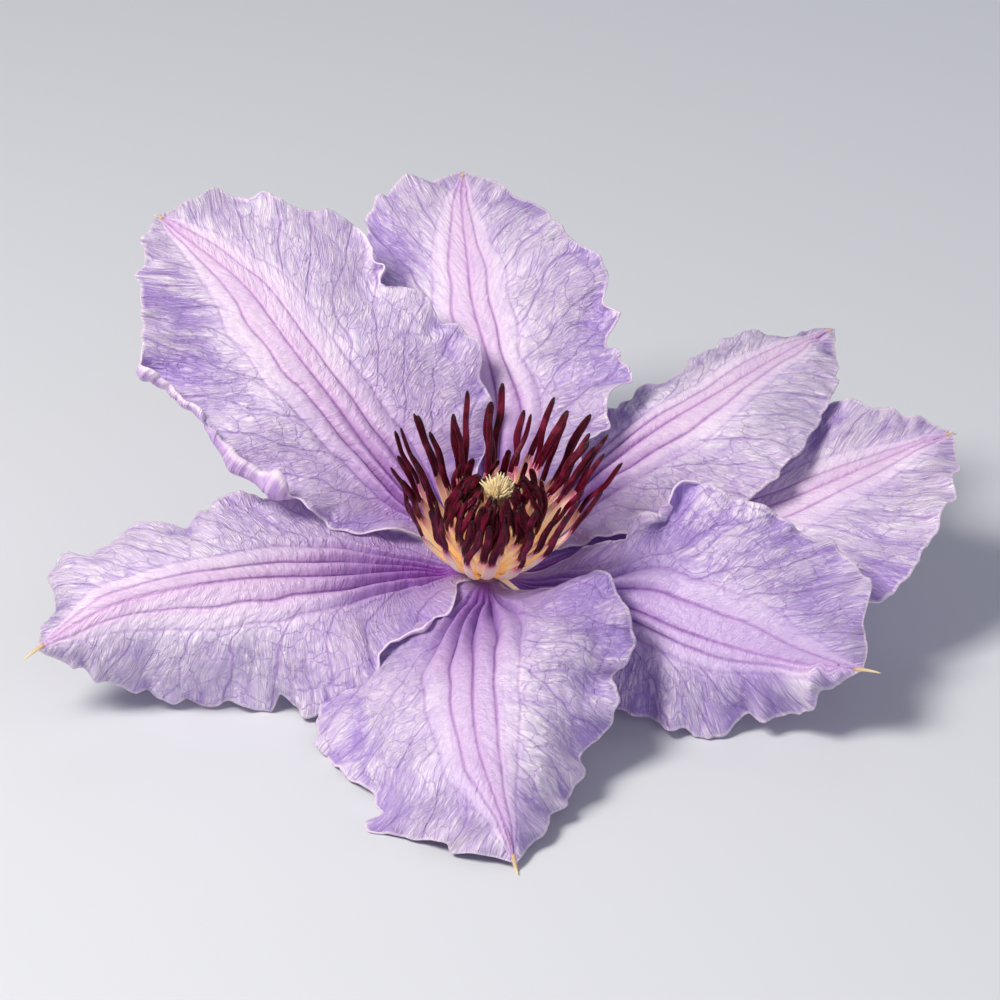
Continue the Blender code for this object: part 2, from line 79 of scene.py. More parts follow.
# Each rail runs from claw to tip as (out, side, up) in its sepal's frame, in mm. ruffle is the height of
# the margin's small waves, pucker how strong the creases are. curls roll the margin over: side, first and
# last share of the length, radius, degrees.
# dents are broad hollows, or swellings if above 0: share of length, share of width, radius, depth.
# lobes push the outline out, or notch it if below 0: side, share of length, width, distance.
# A whole sepal's painted shade: above 0 darker and more violet, away from the light; below 0 lighter.
SEPALS = {
    "sepal_1": {
        "azimuth": 135, "claw": (141, 0.6), "tip": (72, 0, 27),
        "ruffle": 1.3, "pucker": 1.0, "painted_shade": -0.1,
        "middle": [(9, 0, 2.2), (14, 0.5, 3.8), (26, 0, 8.5), (38, 0, 16), (52, -1, 22.5), (64, 0, 26)],
        "left": [(8, 3.5, 2.2), (12, 7, 3.4), (16, 11, 4.8), (22, 16, 7.3), (32, 21, 10), (40, 21, 13.5),
                 (48, 20, 17), (54, 21, 20), (57, 18, 21.5), (62, 12, 25), (69, 5, 26.5)],
        "right": [(8, -4.5, 2.4), (12, -10, 4.5), (19, -20, 9.5), (27, -24, 14), (35, -23.5, 17),
                  (43, -22.5, 18), (51, -24, 21), (57, -22, 24), (61, -16, 25.5), (68, -12, 26.5),
                  (70, -5, 27)],
        "curls": [("left", 0.26, 0.73, 1.55, 175), ("right", 0.47, 0.70, 0.9, 115)],
        "dents": [(0.8, 0.72, 4.5, -1.3), (0.6, 0.72, 6.0, -1.2), (0.45, 0.6, 5.0, 0.6),
                  (0.57, -0.80, 3.2, -1.0), (0.62, -0.5, 9.0, 0.7), (0.36, -0.8, 4.0, -0.8)],
        "lobes": [("right", 0.91, 1.5, 2.0), ("right", 0.855, 1.8, -0.9), ("right", 0.81, 1.8, 1.1),
                  ("right", 0.74, 2.4, -0.7), ("left", 0.93, 1.1, 0.9), ("left", 0.87, 1.0, 0.8)],
    },
    "sepal_2": {
        "azimuth": 90, "claw": (91, 0), "tip": (74, 4, 17.5),
        "ruffle": 1.2, "pucker": 1.0, "painted_shade": 0.16,
        "middle": [(9, 0, 1), (18, -1.5, 2.5), (29, -2, 4.5), (36, -1, 7.5), (47, 2, 12), (54, 3, 14.5),
                   (64, 4, 16.5)],
        "left": [(8, 3.5, 0.3), (18, 10, 1.5), (30, 16, 4), (44, 20, 8), (54, 20, 12), (61, 19, 15),
                 (66, 18, 17), (70.5, 14, 17.8), (72, 8, 17.8)],
        "right": [(8, -3.5, 1.5), (12, -8.5, 4), (17.5, -15.5, 7), (28, -20.5, 9.5), (35, -22, 10),
                  (41, -19, 10.5), (46, -21, 12), (50, -18, 13.5), (55, -17, 15.5), (61, -11, 16.5),
                  (66, -8, 17), (71, -1, 17.5)],
        "curls": [("right", 0.54, 0.68, 1.3, 120)],
        "dents": [(0.58, -0.8, 4.0, -1.8), (0.7, -0.6, 5.0, 0.8), (0.5, -0.5, 6.0, 0.6),
                  (0.75, 0.7, 4.0, -0.8)],
        "lobes": [("right", 0.7, 1.5, 1.0), ("right", 0.655, 1.3, 0.9), ("right", 0.6, 1.6, -1.2),
                  ("left", 0.9, 2.4, 0.5), ("left", 0.83, 1.6, -0.6), ("right", 0.86, 2.0, 0.6)],
    },
    "sepal_3": {
        "azimuth": 44, "claw": (44, -0.2), "tip": (76, 0, 2.5),
        "ruffle": 0.9, "pucker": 1.0, "painted_shade": 0.0,
        "middle": [(9, 0, 0.4), (16, 1, 1.2), (26, 2, 2.8), (37, 0.5, 5.5), (49, -1, 6.5), (64, -1, 5.5)],
        "left": [(8, 3, 0.1), (18, 8, 0.6), (35, 12.5, 0.5), (45, 13, 0.3), (54, 12, -0.5), (63, 12, -0.5),
                 (72, 6, 0.5)],
        "right": [(8, -3.5, 0.5), (15, -8.5, 1.2), (27, -16, 2), (40, -19, 3), (48, -18, 4), (56, -15, 4),
                  (65, -10, 3.5), (72, -4, 3)],
        "curls": [],
        "dents": [(0.45, -0.6, 6.0, -0.9), (0.62, -0.55, 5.0, 0.6), (0.38, -0.9, 3.0, -1.2),
                  (0.7, 0.5, 5.0, 0.5)],
        "lobes": [("right", 0.62, 1.8, 0.7), ("right", 0.55, 1.5, -0.7), ("right", 0.93, 1.5, 0.6)],
    },
    "sepal_4": {
        "azimuth": 19, "claw": (-2, -0.4), "tip": (76, 1, 4.5),
        "ruffle": 1.2, "pucker": 1.2, "painted_shade": 0.08,
        "middle": [(9, -2, -0.8), (24, -1, -1.4), (39, 0, -1.5), (53, 0, 0.5), (69, 1, 3.5)],
        "left": [(9, 1, -0.8), (25, 8.5, -1.6), (44, 16, -0.5), (58, 18, 1.5), (65, 14, 3.5), (72, 6, 4.5)],
        "right": [(8, -5, -1), (21, -13, -2.2), (35, -22, -2.5), (47, -26, -2), (56, -23, -1),
                  (62, -19, 0.5), (69, -14, 2), (74, -5, 3.5)],
        "curls": [],
        "dents": [(0.8, -0.5, 5.0, -0.8), (0.72, 0.5, 5.0, 0.6), (0.86, 0.3, 4.0, -0.5),
                  (0.23, -0.42, 5.0, 2.4), (0.33, -0.25, 5.0, 1.4)],
        "lobes": [("right", 0.86, 1.6, 0.7), ("left", 0.8, 1.8, 0.7), ("left", 0.72, 1.6, -0.7)],
    },
    "sepal_5": {
        "azimuth": -25, "claw": (-46, 0), "tip": (60, 1, 2.5),
        "ruffle": 1.4, "pucker": 1.3, "painted_shade": 0.6,
        "middle": [(9, -1, 0.2), (15, 0, 0.8), (24, 0, 1), (33, -1, 1), (42, -1, 0.8), (52, 0, 1)],
        "left": [(8, 2, 0.8), (13, 7.5, 2.3), (19, 10, 4.5), (21, 15, 8), (24, 20, 9.5), (31, 22, 8.3),
                 (39, 21.2, 7.1), (46, 22, 5.4), (53, 17.5, 3.0), (57, 12, 2.3), (59, 6, 2.3)],
        "right": [(8, -4.5, -1.2), (13, -6, -3), (19, -7, -6), (26, -10, -9.4), (33, -11, -10.3),
                  (39, -9, -10.2), (45, -6, -8), (50, -3, -5.5), (56, 0, -1)],
        "curls": [("left", 0.27, 0.46, 1.1, 120)],
        "dents": [(0.62, 0.55, 6.0, 0.8), (0.45, 0.75, 4.0, -1.0), (0.75, 0.75, 4.0, -0.7),
                  (0.34, 0.8, 3.0, -1.2), (0.55, -0.6, 5.0, 0.6)],
        "lobes": [("left", 0.4, 1.4, 0.6), ("left", 0.50, 2.0, -0.7), ("left", 0.62, 1.6, 0.7),
                  ("left", 0.8, 1.6, 0.8), ("left", 0.88, 2.4, -0.7), ("right", 0.8, 1.6, 0.8),
                  ("right", 0.7, 1.6, -0.7), ("right", 0.6, 1.8, 0.8)],
    },
    "sepal_6": {
        "azimuth": -90, "claw": (-92, 0), "tip": (60, 4, -0.8),
        "ruffle": 1.2, "pucker": 1.0, "painted_shade": 0.4,
        "middle": [(8, -0.5, 1), (16, -2, 3.2), (26, -2, 5.5), (35, -2, 6.5), (43, -1, 6), (50, 1, 4),
                   (56, 3, 1.5)],
        "left": [(6, 3.5, 1.2), (8, 8, 3), (7, 13, 4.5), (7.5, 18, 6.3), (14, 21, 6.5), (21, 22, 4.5),
                 (26, 19, 2.5), (32, 18.5, 1), (39, 15, -0.5), (46, 12, -1.5), (53, 8, -1.5)],
        "right": [(3.8, -4.6, 0.5), (5.4, -7.0, 0.2), (8.0, -10, -1.0), (11.3, -14, -2.6),
                  (14.6, -18.5, -4.4), (18.4, -23, -7.4), (23, -25, -9.0), (29, -23.5, -8.8),
                  (36, -21, -7.3), (43, -17, -5.5), (51, -16, -3.4), (53, -10, -3), (57, -2, -1.2)],
        "curls": [],
        "dents": [(0.45, 0.6, 6.0, 0.7), (0.7, 0.5, 5.0, 0.5), (0.42, 0.8, 2.6, -1.0),
                  (0.55, 0.85, 2.4, -0.9), (0.66, 0.8, 2.6, -0.8), (0.52, -0.84, 3.6, -1.0),
                  (0.62, -0.84, 4.0, -1.6), (0.74, -0.84, 3.6, -1.2), (0.55, -0.52, 3.0, 0.8),
                  (0.68, -0.52, 3.0, 0.8)],
        "lobes": [("left", 0.62, 1.5, 0.7), ("left", 0.7, 1.4, -0.6), ("left", 0.82, 1.5, 0.7),
                  ("right", 0.72, 1.8, 0.6), ("right", 0.9, 1.5, 0.6)],
    },
    "sepal_7": {
        "azimuth": 195, "claw": (200, 0.3), "tip": (68.5, 0.3, 0.5),
        "ruffle": 1.2, "pucker": 1.0, "painted_shade": 0.04,
        "middle": [(9, -1, 1), (20, -1, 3), (30, -0.5, 5), (40, 0, 7), (48, 0, 7.5), (58, 0, 6)],
        "left": [(5.4, 3.4, 1.2), (6.3, 6.2, 1.9), (7.5, 8.7, 2.1), (8.9, 10.4, 1.9), (10.5, 9.8, 1.4),
                 (12.6, 11.0, 0.9), (15, 11.7, 0.2), (19, 13, -0.9), (21.5, 16.3, -1.9), (24.5, 17, -4),
                 (27, 15.5, -7), (30, 13, -10), (35, 8, -11.3), (41, 7, -11.9), (47, 6, -11.7),
                 (53, 4, -10), (60, 1.5, -5), (66, 1, -1.5)],
        "right": [(7, -5.2, 1.0), (10, -8.6, 1.6), (13.5, -11, 2), (20, -17, 2.6), (28, -20, 4),
                  (34, -19, 5.5), (41, -15, 6.5), (50, -14, 6.3), (57, -12, 5), (62, -12.5, 4.5),
                  (64, -8, 3), (67, -4, 1.5)],
        "curls": [("left", 0.1, 0.34, 0.8, 120), ("right", 0.86, 0.97, 1.0, -80)],
        "dents": [(0.55, 0.45, 5.0, 0.5), (0.3, -0.5, 6.0, 0.6), (0.62, 0.8, 2.6, -0.7),
                  (0.45, 0.85, 2.6, -0.7)],
        "lobes": [("left", 0.525, 1.0, -1.9), ("left", 0.57, 1.8, 0.7), ("left", 0.47, 1.8, 0.7),
                  ("left", 0.7, 1.8, -0.5), ("left", 0.8, 1.5, 0.6), ("right", 0.93, 1.6, 1.0)],
    },
}

# Side views of the stamens, from foot to tip, as (distance from the axis, up) in mm: at the back and the
# sides, and at the front, where the boss stands more upright.
WHORLS = [
    [(3.5, 1.3), (7.5, 4.6), (11.5, 10.0), (14.2, 15.5), (17.3, 21.5)],
    [(3.2, 2.4), (5.9, 6.3), (8.6, 11.2), (10.8, 16.0), (13.4, 20.8)],
    [(2.9, 3.5), (4.9, 6.6), (6.5, 10.0), (7.0, 13.6), (6.2, 17.4)],
]
FRONT_WHORLS = [
    [(3.5, 1.3), (6.9, 4.2), (9.2, 8.6), (9.8, 12.4), (9.8, 16.8)],
    [(3.2, 2.4), (5.5, 5.6), (7.5, 9.8), (8.0, 13.6), (7.5, 17.2)],
    [(2.9, 3.5), (4.8, 6.8), (6.2, 10.4), (6.4, 13.6), (5.3, 16.8)],
]
BOSS_LEAN = 0.12                 # towards +X, per mm above its foot
BOSS_FOOT = 2.0
FILAMENT_SHARE = 0.53            # how far up a stamen its anther starts
STAMEN_STEPS = 40
OUTER_EXTRA = 20                 # more stamens between the first two whorls
# More of them crowd between the whorls and arch in over the styles: how many, and their side view.
DOME = [
    (20, [(3.0, 3.0), (5.3, 6.2), (7.0, 9.6), (7.4, 13.0), (5.6, 16.9)]),
    (16, [(2.7, 4.2), (4.4, 7.4), (5.7, 11.0), (5.7, 14.4), (3.9, 17.4)]),
    (14, [(2.1, 5.4), (3.0, 8.2), (4.0, 11.4), (4.3, 14.4), (3.1, 16.9)]),
]


def in_row(points):
    """Points of the flower's own frame in mm, placed in the row's frame in metres."""
    points = np.asarray(points, float)
    x, y, z = points[..., 0], points[..., 1], points[..., 2]
    return MM * np.stack([
        ORIGIN[0] + x,
        ORIGIN[1] + y * math.cos(LEAN) - z * math.sin(LEAN),
        ORIGIN[2] + y * math.sin(LEAN) + z * math.cos(LEAN),
    ], axis=-1)


def rail(points, count):
    """count + 1 points at equal steps along a smooth curve through the given points."""
    points = np.array(points, float)
    ends = np.vstack([2 * points[0] - points[1], points, 2 * points[-1] - points[-2]])
    dense = []
    for a, b, c, d in zip(ends, ends[1:], ends[2:], ends[3:]):
        for step in range(10):
            t = step / 10
            dense.append(0.5 * (2 * b + (c - a) * t + (2 * a - 5 * b + 4 * c - d) * t * t
                                + (3 * b - a - 3 * c + d) * t ** 3))
    dense = np.array(dense + [points[-1]])
    length = np.concatenate([[0], np.cumsum(np.linalg.norm(np.diff(dense, axis=0), axis=1))])
    at = np.linspace(0, length[-1], count + 1)
    return np.stack([np.interp(at, length, dense[:, axis]) for axis in range(dense.shape[1])], axis=1)


def ramp(low, high, value):
    """0 below low, 1 above high, and smooth between."""
    share = np.clip((value - low) / (high - low), 0, 1)
    return share * share * (3 - 2 * share)


def noise(x, y, seed):
    """Smooth noise from -1 to 1 with one swing per unit of x and of y, the same on every run."""
    x, y = np.broadcast_arrays(x, y)
    column, row = np.floor(x), np.floor(y)
    fx, fy = x - column, y - row
    fx, fy = fx * fx * (3 - 2 * fx), fy * fy * (3 - 2 * fy)

    def corner(i, j):
        value = np.sin((column + i) * 127.1 + (row + j) * 311.7 + seed * 74.7) * 43758.5453
        return value - np.floor(value)

    low = corner(0, 0) * (1 - fx) + corner(1, 0) * fx
    high = corner(0, 1) * (1 - fx) + corner(1, 1) * fx
    return 2 * (low * (1 - fy) + high * fy) - 1


def normals_of(grid):
    """Unit normals of a grid of points, towards the face that the stamens stand on."""
    across = np.gradient(grid, axis=1)
    along = np.gradient(grid, axis=0)
    normal = np.cross(along, across)
    normal /= np.linalg.norm(normal, axis=2, keepdims=True) + 1e-9
    return normal if normal[:, :, 2].sum() > 0 else -normal


def blade(spec):
    """The smooth middle surface of a sepal between its three rails, with where each point lies on it.

    Returns the grid in mm, the share across (-1 to 1) and along (0 to 1), half the width, and the length.
    """
    claw, up = spec["claw"]
    turn = math.radians(claw - spec["azimuth"])
    foot = np.array([CLAW_RADIUS * math.cos(turn), CLAW_RADIUS * math.sin(turn), up])
    sideways = np.array([-math.sin(turn), math.cos(turn), 0]) * CLAW_HALF_WIDTH
    tip = np.array(spec["tip"], float)
    middle = rail([foot, *spec["middle"], tip], SEPAL_ROWS)[:, None, :]
    left = rail([foot + sideways, *spec["left"], tip + (0, 0.3, 0)], SEPAL_ROWS)[:, None, :]
    right = rail([foot - sideways, *spec["right"], tip - (0, 0.3, 0)], SEPAL_ROWS)[:, None, :]
    across = np.linspace(-1, 1, SEPAL_COLUMNS + 1)[None, :]
    edge = np.where(across[:, :, None] > 0, left, right)
    half = np.linalg.norm(edge - middle, axis=2)
    level = (left - right) / np.linalg.norm(left - right, axis=2, keepdims=True)
    start = level * (half * 0.8 * np.sign(across))[:, :, None]
    share = np.abs(across)[:, :, None]
    grid = middle + start * share + (edge - middle - start) * share ** 2
    along = np.linspace(0, 1, SEPAL_ROWS + 1)[:, None]
    length = np.linalg.norm(np.diff(middle[:, 0], axis=0), axis=1).sum()
    return grid, across, along, half, length


def curl_margin(grid, half, curl, seed):
    """Rolls a stretch of the margin over, onto the upper face, or the lower one if degrees is below 0."""
    side, first, last, radius, degrees = curl
    sign = 1 if side == "left" else -1
    order = np.linspace(-1, 1, grid.shape[1]) * sign
    sorting = np.argsort(order)
    normal = normals_of(grid) * (1 if degrees > 0 else -1)
    for row in range(grid.shape[0]):
        along = row / (grid.shape[0] - 1)
        weight = ramp(first, first + 0.08, along) * (1 - ramp(last - 0.08, last, along))
        if weight <= 0:
            continue
        wobble = 0.8 * noise(along * 9, 0.0, seed) + 0.5 * noise(along * 23, 0.0, seed + 1)
        wobble = wobble + 0.45 * noise(along * 62, 0.0, seed + 3)
        here = radius * (1 + 0.13 * wobble)
        turn = math.radians(abs(degrees)) * (1 + 0.25 * noise(along * 14, 0.0, seed + 2)) * weight
        width = half[row, -1 if sign > 0 else 0]
        start = 1 - here * 1.05 / max(width, 2.1 * here)
        rolled = order > start

        def at(values, place):
            return np.array([np.interp(place, order[sorting], values[row, sorting, axis])
                             for axis in range(3)])

        base = at(grid, start)
        out = base - at(grid, start - 0.06)
        out /= np.linalg.norm(out)
        up = at(normal, start)
        up = up - out * np.dot(up, out)
        up /= np.linalg.norm(up)
        part = (order[rolled] - start) / (1 - start)
        arc = here * 1.05 * part * (1 + (turn / 1.05 - 1) * weight)
        angle = np.maximum(turn * part, 1e-4)
        turned = (base + out * (np.sin(angle) / angle * arc)[:, None]
                  + up * ((1 - np.cos(angle)) / angle * arc)[:, None])
        grid[row, rolled] = grid[row, rolled] * (1 - weight) + turned * weight
    return grid


def relief_of(spec, across, along, half, length, seed):
    """Height in mm of the veins, pleats and creases, the coordinates for the finish, and the painted shade.
    """
    v = along * length + 0 * across
    u = across * half
    side = np.sign(across)
    apart = np.abs(u)
    rim = half - apart
    awake = ramp(3, 12, v) * (1 - ramp(length - 5, length, v))

    # Veins wander a little, run as deep pleats near the claw and fade towards the tip.
    wander = 0.025 * noise(v / 15, 0 * v, seed) + ramp(0.02, 0.2, np.abs(across)) * (
        0.05 * noise(v / 13, side * 2, seed + 13) + 0.02 * noise(v / 4.5, side * 4, seed + 14))
    veins = across + wander * ramp(0.06, 0.3, along)
    which = np.minimum(np.round(np.abs(veins) / VEIN_STEP), 2)
    off_vein = np.abs(np.abs(veins) - which * VEIN_STEP) * half
    weight = np.where(which == 2, 0.55, 1.0) * (1 - 0.65 * ramp(0.35, 0.9, along))
    near_claw = 1 - ramp(0.05, 0.60, along)
    inside = 1 - ramp(2.2, 2.5, np.abs(veins) / VEIN_STEP)
    groove = np.exp(-(off_vein / (0.38 + 0.45 * near_claw)) ** 2) * weight * inside
    height = -groove * (0.20 + 0.80 * near_claw) * ramp(1, 5, v)
    bar = 1 - ramp(2.2, 3.0, np.abs(veins) / VEIN_STEP)
    height = height + 0.60 * bar * near_claw * -np.cos(2 * math.pi * veins / VEIN_STEP) * ramp(2, 9, v)

    lateral = (v - 1.5 * apart + 0.024 * apart ** 2) / LATERAL_SPACING
    lateral = lateral + 0.38 * noise(u / 9, v / 9, seed + 1) + 0.10 * noise(u / 2.6, v / 2.6, seed + 10)
    lateral = lateral + 0.5 * (across > 0)
    off_lateral = np.abs(lateral - np.round(lateral)) * LATERAL_SPACING * LATERAL_SLANT
    outside = ramp(0.30, 0.42, np.abs(across))
    height -= 0.06 * np.exp(-(off_lateral / 0.35) ** 2) * outside * awake

    # Creases run out to the margin: back towards the claw low down, and forwards near the tip.
    skew = (v + 0.2 * apart) / (1 + 0.020 * apart)
    skew = skew + 0.9 * noise(u / 5, v / 5, seed + 15)
    fine = np.abs(noise(skew / CRINKLE_PITCH, apart / 4.5 + 7 * side, seed + 2))
    broad = np.abs(noise(skew / PLEAT_PITCH, apart / 8.0 + 7 * side, seed + 3))
    deep = noise(skew / 7.5, u / 12.0, seed + 6)
    blister = np.abs(noise(u / 1.5, v / 1.9, seed + 5))
    patch = 0.65 + 0.6 * noise(u / 9, v / 9, seed + 4)
    creased = (0.22 + 0.78 * ramp(0.32, 0.70, np.abs(across) + 0.16 * (patch - 0.65))) * awake
    creased = creased * ramp(0.16, 0.30, np.abs(across))
    height += creased * patch * (0.28 * fine + 0.60 * broad + 0.7 * deep) * spec["pucker"]
    height += (0.04 + 0.12 * creased) * blister * awake * spec["pucker"]
    height += 0.05 * np.abs(noise(v / 0.8, u / 1.6, seed + 7)) * bar * ramp(3, 8, v)

    wave = (np.exp(-(rim / 4.5) ** 2) * noise(v / 4.4, side * 5, seed + 8)
            + 0.70 * np.exp(-(rim / 2.2) ** 2) * noise(v / 1.7, side * 9, seed + 9))
    height += spec["ruffle"] * 1.1 * wave * awake
    # How deep each point lies in its creases, troughs and blisters: where violet shade is painted.
    hollow_shade = creased * patch * (0.9 * (0.30 - fine) + 1.2 * (0.28 - broad) - 0.8 * deep)
    hollow_shade = hollow_shade - 0.65 * wave * awake + 0.2 * (0.22 - blister) * creased
    return height, veins, lateral, skew, u, v, rim, hollow_shade


def sepal(name, spec, seed, materials):
    """A whole sepal: a grid laid over its rails, dented, lobed, rolled and creased, then thickened."""
    grid, across, along, half, length = blade(spec)
    u, v = across * half, along * length + 0 * across
    side = np.sign(across)
    rim = half - np.abs(u)
    depth = np.zeros_like(u)
    for place, width, radius, deep in spec["dents"]:
        row = int(round(place * SEPAL_ROWS))
        at = width * half[row, -1 if width > 0 else 0]
        depth += deep * np.exp(-((v - place * length) ** 2 + (u - at) ** 2) / radius ** 2)
    grid = grid + normals_of(grid) * depth[:, :, None]

    awake = ramp(6, 18, v) * (1 - ramp(length - 7, length - 1, v))
    reach = 0.7 * noise(v / 4.6, side * 3, seed + 11) + 0.5 * noise(v / 1.7, side * 7, seed + 12)
    reach = reach * spec["ruffle"] * awake * np.exp(-(rim / 4) ** 2)
    for which, place, width, distance in spec["lobes"]:
        sign = 1 if which == "left" else -1
        shape = distance * np.exp(-((v - place * length) / width) ** 2 - (rim / 3.5) ** 2)
        reach = reach + np.where(side == sign, shape, 0)
    outward = np.gradient(grid, axis=1) * side[:, :, None]
    outward /= np.linalg.norm(outward, axis=2, keepdims=True) + 1e-9
    grid = grid + outward * reach[:, :, None]
    for number, curl in enumerate(spec["curls"]):
        grid = curl_margin(grid, half, curl, seed + 16 + number)
    height, veins, lateral, skew, u, v, rim, hollow_shade = relief_of(spec, across, along, half, length, seed)
    grid = grid + normals_of(grid) * height[:, :, None]
    # Painted shade: more in the dents, and over a whole sepal by its own number.
    hollow_shade = hollow_shade - depth / 2.6 + spec["painted_shade"]

    placed = in_row(turned(grid, spec["azimuth"]))
    placed[:, :, 2] = np.maximum(placed[:, :, 2], RESTING * MM)

    bpy.ops.mesh.primitive_grid_add(x_subdivisions=SEPAL_COLUMNS, y_subdivisions=SEPAL_ROWS, size=2)
    piece = bpy.context.object
    piece.name = name
    mesh = piece.data
    mesh.vertices.foreach_set("co", placed.reshape(-1))
    store(mesh, "place", np.stack([veins, along + 0 * across, half + 0 * across], axis=2))
    store(mesh, "crease", np.stack([u, skew, hollow_shade], axis=2))
    store(mesh, "net", np.stack([lateral, v, rim], axis=2))
    mesh.update()
    middle = mesh.polygons[len(mesh.polygons) // 2].normal
    if np.dot(middle, (0, -math.sin(LEAN), math.cos(LEAN))) < 0:
        mesh.flip_normals()
    for material in materials:
        mesh.materials.append(material)
    wall = piece.modifiers.new("tissue", "SOLIDIFY")
    wall.thickness = SEPAL_THICK * MM
    wall.offset = 0
    wall.material_offset = 1
    wall.material_offset_rim = 2
    bpy.ops.object.modifier_apply(modifier=wall.name)
    bpy.ops.object.shade_smooth()
    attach(piece, "root")
    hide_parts(name.replace("_blade", ""))
    return piece


def store(mesh, name, values):
    """Writes one vector per vertex, for the materials to read."""
    made = mesh.attributes.new(name, "FLOAT_VECTOR", "POINT")
    made.data.foreach_set("vector", np.ascontiguousarray(values, np.float32).reshape(-1))


def linear(hex_colour):
    """An sRGB hex colour as the linear RGBA that a shader takes."""
    channels = [int(hex_colour[i:i + 2], 16) / 255 for i in (1, 3, 5)]
    return (*[c / 12.92 if c <= 0.04045 else ((c + 0.055) / 1.055) ** 2.4 for c in channels], 1.0)


def add(tree, kind, inputs, **settings):
    """Adds a node of this kind with its settings; inputs gives each socket a value or an output to link."""
    made = tree.nodes.new(kind)
    for name, value in settings.items():
        setattr(made, name, value)
    for socket, value in inputs.items():
        if isinstance(value, bpy.types.NodeSocket):
            tree.links.new(value, made.inputs[socket])
        else:
            made.inputs[socket].default_value = value
    return made.outputs


def lay_over(tree, colour, layers):
    """Lays colours over one another: value, where it starts and ends, the share at both, and the colour."""
    for value, low, high, at_low, at_high, above in layers:
        share = add(tree, "ShaderNodeMapRange", {0: value, 1: low, 2: high, 3: at_low, 4: at_high},
                    interpolation_type="SMOOTHSTEP")[0]
        colour = add(tree, "ShaderNodeMix", {0: share, 6: colour, 7: linear(above)}, data_type="RGBA")[2]
    return colour


def finish_material(tree, shader, colour, numbers, height=None, distance=0.1, strength=1.0):
    """Gives the shader its colour, its relief of at most this distance in mm, and its plain numbers."""
    tree.links.new(colour, shader.inputs["Base Color"])
    if height is not None:
        bump = add(tree, "ShaderNodeBump",
                   {"Height": height, "Distance": distance * MM, "Strength": strength})[0]
        tree.links.new(bump, shader.inputs["Normal"])
    for socket, value in numbers.items():
        shader.inputs[socket].default_value = value


def new_material(name):
    """An empty Principled material and its shader node."""
    material = bpy.data.materials.new(name)
    material.use_nodes = True
    return material, material.node_tree, material.node_tree.nodes["Principled BSDF"]


def read_places(tree):
    """The sheet's own coordinates, each as a vector and its parts.

    They are (vein, share along, half width), (mm across, mm across the creases, depth of painted shade) and
    (side vein, mm along, mm from the rim).
    """
    sockets = []
    for name in ("place", "crease", "net"):
        vector = add(tree, "ShaderNodeAttribute", {}, attribute_name=name)["Vector"]
        sockets.append(vector)
        sockets.append(add(tree, "ShaderNodeSeparateXYZ", {"Vector": vector}))
    return sockets


